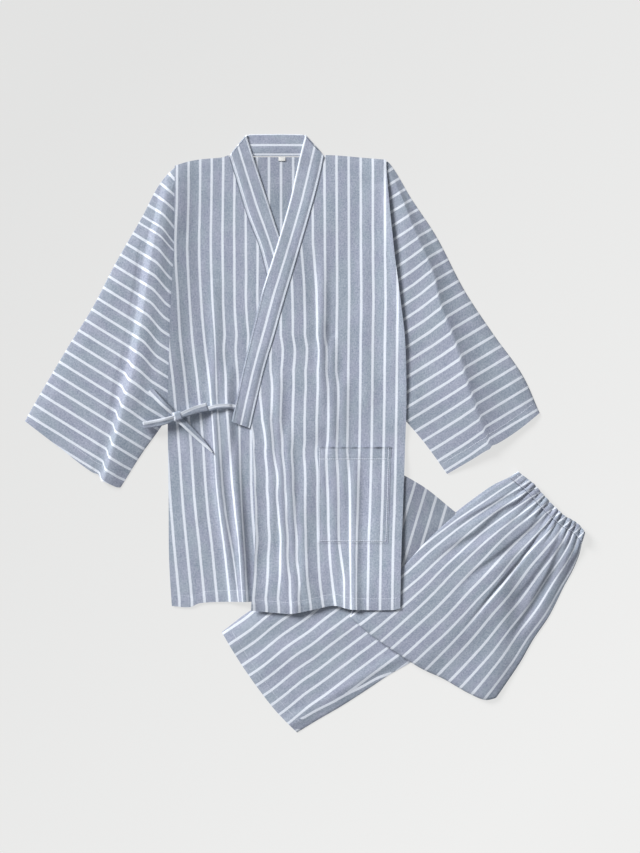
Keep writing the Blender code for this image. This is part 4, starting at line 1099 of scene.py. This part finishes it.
# Where the upper leg's stripes are, as shares across it: at the casing's edge, at its foot and at
# two places down the leg, and at the bottom fold.
TOP_LEG_STRIPES = table(
    "stripe edge waist high middle fold",
    (-1, 0, -0.01, -0.02, -0.045, -0.16), (0, 0.06, 0.065, 0.055, 0.02, -0.08),
    (1, 0.163, 0.148, 0.12, 0.075, 0), (2, 0.271, 0.228, 0.185, 0.158, 0.075),
    (3, 0.328, 0.3, 0.255, 0.218, 0.158), (4, 0.379, 0.368, 0.325, 0.285, 0.235),
    (5, 0.472, 0.441, 0.39, 0.37, 0.308), (6, 0.565, 0.52, 0.485, 0.455, 0.392),
    (7, 0.643, 0.59, 0.555, 0.535, 0.462), (8, 0.71, 0.66, 0.61, 0.592, 0.545),
    (9, 0.787, 0.735, 0.695, 0.675, 0.622), (10, 0.852, 0.8, 0.785, 0.76, 0.7),
    (11, 0.913, 0.86, 0.85, 0.833, 0.774), (12, 0.973, 0.925, 0.91, 0.89, 0.852),
    (13, 1.03, 0.99, 0.985, 0.965, 0.93), (14, 1.09, 1.05, 1.05, 1.04, 1.01))
TOP_LEG_ROWS = (0.0, 0.17, 0.43, 1.0)       # how far down the leg the last four of them are
TURNED_STRIPES = (0.957, -0.290)    # across the stripes of the end that is turned under
TURNED_FIRST = -6.92
FOLD_EDGE = 1.6                     # half the leg's thickness, at its bottom fold


def waist_seam(share, deep):
    """Points along the waist, deep below the casing's edge."""
    return on_line(WAIST_TOP, share) + lerp(*WAIST_DIRECTIONS, np.asarray(share)[..., None]) * deep


def leg_patch(deep, end, outer, inner, share, rows):
    """Points of a leg between the waist and its end; outer and inner are its sides."""
    top = waist_seam(np.linspace(0.0, 1.0, 17), deep)
    return patch(top, end, (top[0],) + outer[1:], (top[-1],) + inner[1:], share, rows)


def place_at(name):
    return [getattr(place, name) for place in TOP_LEG_STRIPES]


def top_leg_count(share, row):
    """Stripe numbers across the upper leg at one share of the way down it."""
    places = np.array([place_at(name) for name in ("waist", "high", "middle", "fold")])
    return np.interp(share, through(TOP_LEG_ROWS, places, row), place_at("stripe"))


def gather(share):
    """Rise of the waist's gathers: rounded crests with sharp valleys, uneven in height."""
    phase = GATHERS * (share + 0.012 * np.sin(9.0 * share) + 0.006 * np.sin(31.0 * share))
    crest = np.abs(arch(phase)) ** 0.7
    uneven = 0.78 + 0.22 * np.sin(2.3 * np.floor(phase) + 0.7)
    return crest * uneven * smooth((share - 0.06) / 0.12)


def past_crease(x, y):
    return 0.86 * (along_x(LOWER_CREASE, x) - y)


def creased(flat, share, beyond=9, gap=0.0007):
    """Moves each row's columns so that two of them hold the lower leg's crease between them."""
    count = len(share)
    knots = (0, 1, count - beyond - 1, count - beyond, count - 2, count - 1)
    shares = []
    moved = []
    for row, past in zip(flat, past_crease(flat[..., 0], flat[..., 1])):
        at = min(float(np.interp(0.0, past, share)), 0.985)
        places = (0.0, share[1], at - gap, at + gap, 1.0 - 0.05 * (1.0 - at), 1.0)
        shares.append(np.interp(np.arange(count), knots, places))
        moved.append(joined(*(np.interp(shares[-1], share, axis) for axis in row.T)))
    return np.array(moved), np.array(shares)


def make_right_leg():
    """The lower leg, flat on the floor, open at its hem."""
    rows = np.concatenate([np.linspace(0, 0.4, 20)[:-1], np.linspace(0.4, 0.992, 88), [0.998, 1]])
    share = finer_ends(62, 0.5)
    flat, share = creased(leg_patch(WAIST_DEEP + 3.0, RIGHT_LEG_CUFF, RIGHT_LEG_OUTER,
                                    RIGHT_LEG_INNER, share, rows), share)
    x, y = split(flat)
    along = run_length(flat)
    to_hem = along[-1] - along
    rows = rows[:, None]
    shown = smooth((rows - 0.55) / 0.12)
    rise = 0.6 + 1.3 * (bell(share - 0.90, 0.075) * shown) \
        + 1.4 * (bell(share - 0.42 - 0.1 * (1 - rows), 0.16) * shown) + 0.9 * slack(x, y)
    rise += 1.2 * bell(share - 0.13, 0.12) * shown + hem_relief(to_hem, LEG_HEM)
    # The stripes turn at the crease that runs along the leg's inner side.
    past = past_crease(x, y)
    rise = np.maximum(np.maximum(rise, 0.0) - 0.5 * bell(past + 2.0, 7.0) * shown, 0.0)
    u = (LOWER_STRIPES[0] * x + LOWER_STRIPES[1] * y) / PITCH + LOWER_FIRST
    u = u + 0.045 * np.sin(x / 17.0 + y / 41.0) * smooth((60.0 - x) / 60.0)
    beyond = 11.0 + (past - 2.3) / PITCH + 0.34 * (1.0 - smooth((x + 13.0) / 9.0))
    u = np.where((past > 0.0) & (shown > 0.5), beyond, u)
    return lay_tube("Trouser_Leg_Lower", x, y, 0.2, rise, u, along / PITCH + 0 * u, to_hem,
                    LEG_HEM, COTTON)


def leg_relief(x, y, share, down):
    """The upper leg is full, with long valleys running down from its gathered waist."""
    full = 3.4 * smooth(share / 0.24) * smooth((1.0 - share) / 0.22)
    rise = full * (1.0 - 0.45 * smooth((down - 0.45) / 0.5)) + 0.9
    for valley in LEG_VALLEYS:
        off, place = off_line(x, y, valley.points)
        ends = smooth(place / 0.12) * (1.0 - smooth((place - 0.55) / 0.45))
        steep = bell(off, np.where(off > 0, 0.75, 1.25) * valley.reach)
        rise = rise - valley.deep * ends * steep
    near = 1.0 - smooth(down / (0.16 + 0.06 * np.sin(23.0 * share)))
    rise = rise * (1.0 - 0.6 * near) + 3.8 * (gather(share) - 0.45) * near
    return rise + 0.8 * slack(x, y)


def make_left_leg():
    """The upper leg and its end, which is turned under along the bottom fold: one tube."""
    share = finer_ends(110, 0.5)
    half = FOLD_EDGE * lerp(0.55, 1.0, smooth(np.minimum(share, 1.0 - share) / 0.1))
    far = np.linspace(1.02, 2.0, 56) - 1
    turned = patch(LEFT_LEG_FOLD, TURNED_HEM, TURNED_OUTER, TURNED_INNER, share, far)
    turned_x, turned_y = split(turned)
    turned_z = bed(2, 2.5)(turned_x, turned_y) + half
    turned_rise = np.maximum(0.5 + 0.8 * slack(turned_x, turned_y), 0.0)
    pile_up(turned_x, turned_y, turned_z + half + turned_rise)

    rows = np.linspace(0.0, 0.975, 118)
    flat = leg_patch(WAIST_DEEP + 0.3, LEFT_LEG_FOLD, LEFT_LEG_OUTER, LEFT_LEG_INNER, share, rows)
    x, y = split(flat)
    flat_z = bed(2, 2.5)(x, y) + half
    rise = np.maximum(leg_relief(x, y, share, rows[:, None]), 0.0)

    fold = on_line(LEFT_LEG_FOLD, share)
    inward = flat[-1] - fold
    inward /= np.linalg.norm(inward, axis=1)[:, None]
    radius = 0.5 * (flat_z[-1] - turned_z[0])
    turns = np.radians(np.linspace(0.0, 180.0, 13)[1:-1])
    turn, turn_normals = turn_over(fold + inward * (radius + FOLD_EDGE)[:, None], -inward, radius,
                                   0.5 * (flat_z[-1] + turned_z[0]), radius, turns)
    middle = np.concatenate([raised(flat, flat_z), turn, raised(turned, turned_z)])
    normal = np.concatenate([upward(flat), turn_normals, -upward(turned)])
    up = np.concatenate([half + rise, half + rise[-1] * (0.5 + 0.5 * np.cos(turns))[:, None],
                         np.broadcast_to(half, turned_z.shape)])
    down = np.tile(half, (len(up), 1))
    down[-len(far):] += turned_rise

    at_fold = top_leg_count(share, 1.0)
    u_turned = (TURNED_STRIPES[0] * turned_x + TURNED_STRIPES[1] * turned_y) / PITCH + TURNED_FIRST
    u = np.concatenate([[top_leg_count(share, row) for row in rows],
                        np.broadcast_to(at_fold, (len(turns), len(share))),
                        lerp(at_fold, u_turned, smooth(far[:, None] / 0.3))])
    # The upper leg takes the cotton with painted shade.
    piece = flat_tube("Trouser_Leg_Upper", middle, normal, up, down, u, nose=6.0,
                      material=COTTON_PAINTED_SHADE)
    # Its turned end takes the cotton with painted shadow.
    piece.data.materials.append(COTTON_TURNED_SHADOW)
    around = 2 * (len(share) - 1)
    for number in range((len(rows) + len(turns) + 2) * around, (len(middle) - 1) * around):
        piece.data.polygons[number].material_index = 1
    pile_up(x, y, flat_z + half + rise)
    return piece


def make_waistband(base_top):
    """The gathered casing: a flattened ring, open through its height."""
    share = np.linspace(0.0, 1.0, 260)
    rows = np.linspace(0.0, 1.0, 15)[:, None]
    deep = rows * WAIST_DEEP
    ruffle = (gather(share) - 0.5) * 1.5 * (1.0 - rows)
    flat = np.stack([waist_seam(share, d) for d in deep[:, 0]])
    flat = flat - WAIST_DIRECTIONS.mean(axis=0) * ruffle[..., None]
    top = base_top + 0.6
    low = 0.2
    middle = raised(flat, 0.5 * (top + low))
    half = np.full(flat.shape[:2], 0.5 * (top - low))
    body = arch(np.clip(rows, 0.06, 0.94)) ** 0.4
    seam = bell(deep - WAIST_SEAMS[0], 2.6) + bell(deep - WAIST_SEAMS[1], 2.2)
    rise = 4.2 * gather(share) * body - 1.3 * seam - 0.2
    rise = rise + 0.7 * np.sin(2 * np.pi * 1.7 * share + 0.4)
    up = half + np.maximum(rise, -0.5)
    u = lerp(*(np.interp(share, place_at(name), place_at("stripe"))
               for name in ("edge", "waist")), rows)
    # The casing takes the darker cotton as painted shade of its gathers.
    piece = flat_tube("Trouser_Waist_Casing", middle, upward(flat), up, half, u,
                      np.broadcast_to(-deep / PITCH, u.shape), nose=3.5, material=COTTON_INSIDE_AND_SHADE)
    x, y, z = split(middle)
    for seam_deep in WAIST_SEAMS:
        stitch_row(x, y, z + up, deep, seam_deep, 6)
    pile_up(x, y, z + up)
    return piece


# ------------------------------------------------------------- bow

KNOT = {"x": -222.5, "y": 28.5, "wide": 19.0, "tall": 17.5, "high": 8.0, "turned": 14.0}
TIES = table(   # white: the side of the strap, along its run, that carries its white edge
    "name node x0 y0 x1 y1 bend half0 half1 half2 loop white high spread",
    ("Bow_Tail_Upper", "tie_tail_upper", -226.5, 31.0, -270.5, 74.5, 1.0, 4.4, 5.6, 6.0,
     False, 1, 4.4, 0.84),
    ("Bow_Tail_Lower", "tie_tail_lower", -219.0, 22.5, -162.0, -34.5, 0.5, 6.2, 4.6, 1.3,
     False, -1, 1.8, 0.95),
    ("Bow_Loop_Left", "tie_loop_left", -225.0, 26.0, -282.0, 12.5, 1.5, 5.2, 6.4, 6.0,
     True, -1, 1.2, 0.80),
    ("Bow_Strap", "tie_strap", -176.0, 38.5, -120.5, 44.4, 4.0, 4.6, 4.6, 4.2,
     False, 1, 1.4, 0.85),
    ("Bow_Loop_Right", "tie_loop_right", -221.0, 28.0, -171.0, 45.0, 1.0, 4.8, 7.0, 7.4,
     True, 1, 1.2, 0.80))
TIE_THICK = 1.9
TIE_WHITE = -0.10           # the map coordinate at a strap's white edge
TIE_TILT = 1.8              # how much higher the white edge lies


def make_tie(tie, height, tucked=0.0):
    """A strap on the cloth, or a loop: a strap turned back over itself at its end.

    The last part of a tucked strap thins and lies low, to pass under the collar.
    """
    start = np.array([tie.x0, tie.y0])
    end = np.array([tie.x1, tie.y1])
    run = (end - start) / np.linalg.norm(end - start)
    side = np.array([-run[1], run[0]])
    across = np.concatenate(([0.0, 0.03], np.linspace(0.1, 0.9, 9), [0.97, 1.0]))
    shares = np.linspace(0.0, 1.0, 40)[:, None]
    reach = shares * (0.97 if tie.loop else 1.0)
    half = through((0.0, 0.6, 1.0), (tie.half0, tie.half1, tie.half2), reach)
    centre = lerp(start, end, reach) + side * (tie.bend * arch(reach))
    flat = centre[:, None, :] + side * (half * (2 * across - 1))[..., None]
    ground = height(flat[..., 0], flat[..., 1])
    ground = np.maximum(ground, lerp(ground, ground.mean(axis=1, keepdims=True), 0.8))
    belly = arch(reach)
    from_white = across if tie.white < 0 else 1.0 - across
    crease = 0.4 * np.sin(2 * np.pi * across)
    under = tucked * smooth((shares - 0.78) / 0.14)
    low = ground + 0.5 * TIE_THICK + 0.5 + TIE_TILT * (1.0 - from_white) * (1.0 - under)
    low = low - 1.1 * under
    normal = upward(flat)
    if tie.loop:
        radius = 0.5 * TIE_THICK + 0.5 + tie.high * belly
        upper = low + 2 * radius + crease * belly
        turn, turn_normals = turn_over(
            flat[-1], run, radius[-1], 0.5 * (upper[-1] + low[-1]), 0.5 * (upper[-1] - low[-1]),
            np.radians(np.linspace(0.0, 180.0, 9)[1:-1]))
        middle = np.concatenate([raised(flat, upper), turn, raised(flat[::-1], low[::-1])])
        normal = np.concatenate([normal, turn_normals, -normal])
        half = np.concatenate([half, np.full((len(middle) - 2 * len(half), 1), half[-1, 0]),
                               half[::-1]])
    else:
        lift = tie.high * arch(np.minimum(shares / (1.0 - 0.2 * tucked), 1.0))
        middle = raised(flat, low + lift + crease * belly)
    thick = np.full(middle.shape[:2], 0.5 * TIE_THICK)
    thick[:len(under)] *= 1.0 - 0.45 * under
    u = TIE_WHITE + tie.spread * from_white * (2.0 * half) / PITCH
    # The straps take the cotton with painted shade.
    return flat_tube(tie.name, middle, normal, thick, thick, u, nose=1.1, hollow=False,
                     material=COTTON_PAINTED_SHADE)


def make_knot(height):
    """The wrapped centre of the bow: a soft squarish band pulled in at its waist."""
    ring = np.linspace(0.0, 2 * np.pi, 40, endpoint=False)
    angle, level = np.meshgrid(ring, np.linspace(-0.5 * np.pi, 0.5 * np.pi, 17)[1:-1])
    square = np.maximum(np.abs(np.cos(angle)), np.abs(np.sin(angle))) ** -0.55
    out = np.cos(level) ** 0.55 * square
    px = 0.5 * KNOT["wide"] * out * np.cos(angle) * (1.0 - 0.10 * np.cos(2 * angle) ** 2)
    py = 0.5 * KNOT["tall"] * out * np.sin(angle)
    groove = 0.5 * np.abs(np.sin(3.0 * px / KNOT["wide"] * math.pi))
    z = float(height(KNOT["x"], KNOT["y"])) + 0.5 * KNOT["high"] * (1.0 + np.sin(level)) \
        - groove * np.cos(level) ** 0.2
    turn = math.radians(KNOT["turned"])
    x = KNOT["x"] + px * math.cos(turn) - py * math.sin(turn)
    y = KNOT["y"] + px * math.sin(turn) + py * math.cos(turn)
    number = np.arange(x.size).reshape(x.shape)
    faces = [face for low, high in zip(number, number[1:])
             for face in quads(low, high, True).tolist()]
    faces += [number[0][::-1].tolist(), number[-1].tolist()]
    uv = joined(px / PITCH * 1.35 + 0.36, py / PITCH).reshape(-1, 2)
    return add_mesh("Bow_Knot", joined(x, y, z).reshape(-1, 3), faces, uv, COTTON, sharp=False)


# ------------------------------------------------------------- laying it all out

FLOOR = 6.0                 # metres to each side
FLOOR_COLOUR = (0.15, 0.15, 0.149, 1.0)
GLOW_COLOUR = (1.0, 1.0, 0.99, 1.0)
GLOW = (0.611, 0.706)       # its strength where x less y is -1 metre, and where it is 1 metre


def make_floor():
    """A pale floor that glows a little, more so towards the lower right."""
    mesh = bpy.data.meshes.new("Floor")
    mesh.from_pydata([(-FLOOR, -FLOOR, 0), (FLOOR, -FLOOR, 0), (FLOOR, FLOOR, 0),
                      (-FLOOR, FLOOR, 0)], [], [(0, 1, 2, 3)])
    tree = Tree("Pale_Floor")
    place = tree.node("ShaderNodeTexCoord").outputs["Object"]
    axes = tree.node("ShaderNodeSeparateXYZ", Vector=place).outputs
    run = tree.math("SUBTRACT", axes[0], axes[1])
    tree.fill(tree.shader, {
        "Base_Color": FLOOR_COLOUR, "Roughness": 0.95, "Specular_IOR_Level": 0.1,
        "Emission_Strength": tree.ranged(run, -1.0, 1.0, *GLOW, soft=False),
        "Emission_Color": GLOW_COLOUR})
    mesh.materials.append(tree.material)
    return add_object("Floor", mesh)


floor = make_floor()
right_leg = make_right_leg()
left_leg = make_left_leg()
waistband = make_waistband(float(sample(heap, 440.0, -175.0)))
back = make_back()
left_sleeve = make_sleeve(
    "Sleeve_Left", ((LEFT_SLEEVE_TOP, LEFT_TOP_STATIONS),
                    (LEFT_SLEEVE_UNDER, LEFT_UNDER_STATIONS)),
    LEFT_CREASE, LEFT_CUT, left_sleeve_shape, COTTON)
# The right sleeve takes the cotton with painted shade.
right_sleeve = make_sleeve(
    "Sleeve_Right", ((RIGHT_SLEEVE_UNDER, RIGHT_UNDER_STATIONS),
                     (RIGHT_SLEEVE_TOP, RIGHT_TOP_STATIONS)),
    RIGHT_CREASE, RIGHT_CUT, right_sleeve_shape, COTTON_PAINTED_SHADE)
label = make_label(bed(0, 0.8))
right_front = make_right_front(bed(3, 2.5))
right_band = lay_band("right", bed(1, 1.5))
under_collar = bed(2, 1.5)
left_front, left_height = make_left_front(bed(3, 2.5))
left_band = lay_band("left", bed(1, 1.5))
collar = make_collar(right_band, left_band)
pocket = make_pocket(left_height)
bow_bed = bed(2, 1.5)
tie_pieces = [make_tie(tie, under_collar, tucked=1.0) if tie.node == "tie_strap"
              else make_tie(tie, bow_bed) for tie in TIES]
knot = make_knot(bow_bed)
stitching = make_stitching("Seam_Stitching")

for piece, node in (
        *zip(tie_pieces, [tie.node for tie in TIES]),
        (right_leg, "trouser_right_leg"), (left_leg, "trouser_left_leg"),
        (waistband, "trouser_waistband"), (back, "jacket_back"),
        (left_sleeve, "sleeve_left"), (right_sleeve, "sleeve_right"), (label, "neck_label"),
        (right_front, "jacket_front_right"), (left_front, "jacket_front_left"),
        (collar, "collar"), (pocket, "pocket"), (knot, "tie_knot")):
    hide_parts(node)

# ------------------------------------------------------------- camera and light

CAMERA_PLACE = (0.02625, 0.0105, 3.532)     # metres; it looks straight down
CAMERA_LENS = 85.0
SENSOR_WIDTH = 36.0
KEY_ELEVATION = 27.0
KEY_SIDE = 50.0             # turned from the top of the view towards its left
KEY_SOFTNESS = 22.0
KEY_STRENGTH = 4.9
SKY_COLOUR = (0.95, 0.97, 1.0, 1.0)
SKY_STRENGTH = 0.33

camera_data = bpy.data.cameras.new("Camera")
camera_data.lens = CAMERA_LENS
camera_data.sensor_width = SENSOR_WIDTH
camera = add_object("Camera", camera_data)
camera.location = CAMERA_PLACE
bpy.context.scene.camera = camera

sun_data = bpy.data.lights.new("Key", "SUN")
sun_data.energy = KEY_STRENGTH
sun_data.angle = math.radians(KEY_SOFTNESS)
sun = add_object("Key", sun_data)
sun.rotation_euler = (math.radians(90.0 - KEY_ELEVATION), 0.0, math.radians(180.0 + KEY_SIDE))
world = bpy.data.worlds.new("Studio")
world.use_nodes = True
sky = world.node_tree.nodes["Background"].inputs
sky["Color"].default_value = SKY_COLOUR
sky["Strength"].default_value = SKY_STRENGTH
bpy.context.scene.world = world
bpy.context.scene.view_settings.view_transform = "Standard"
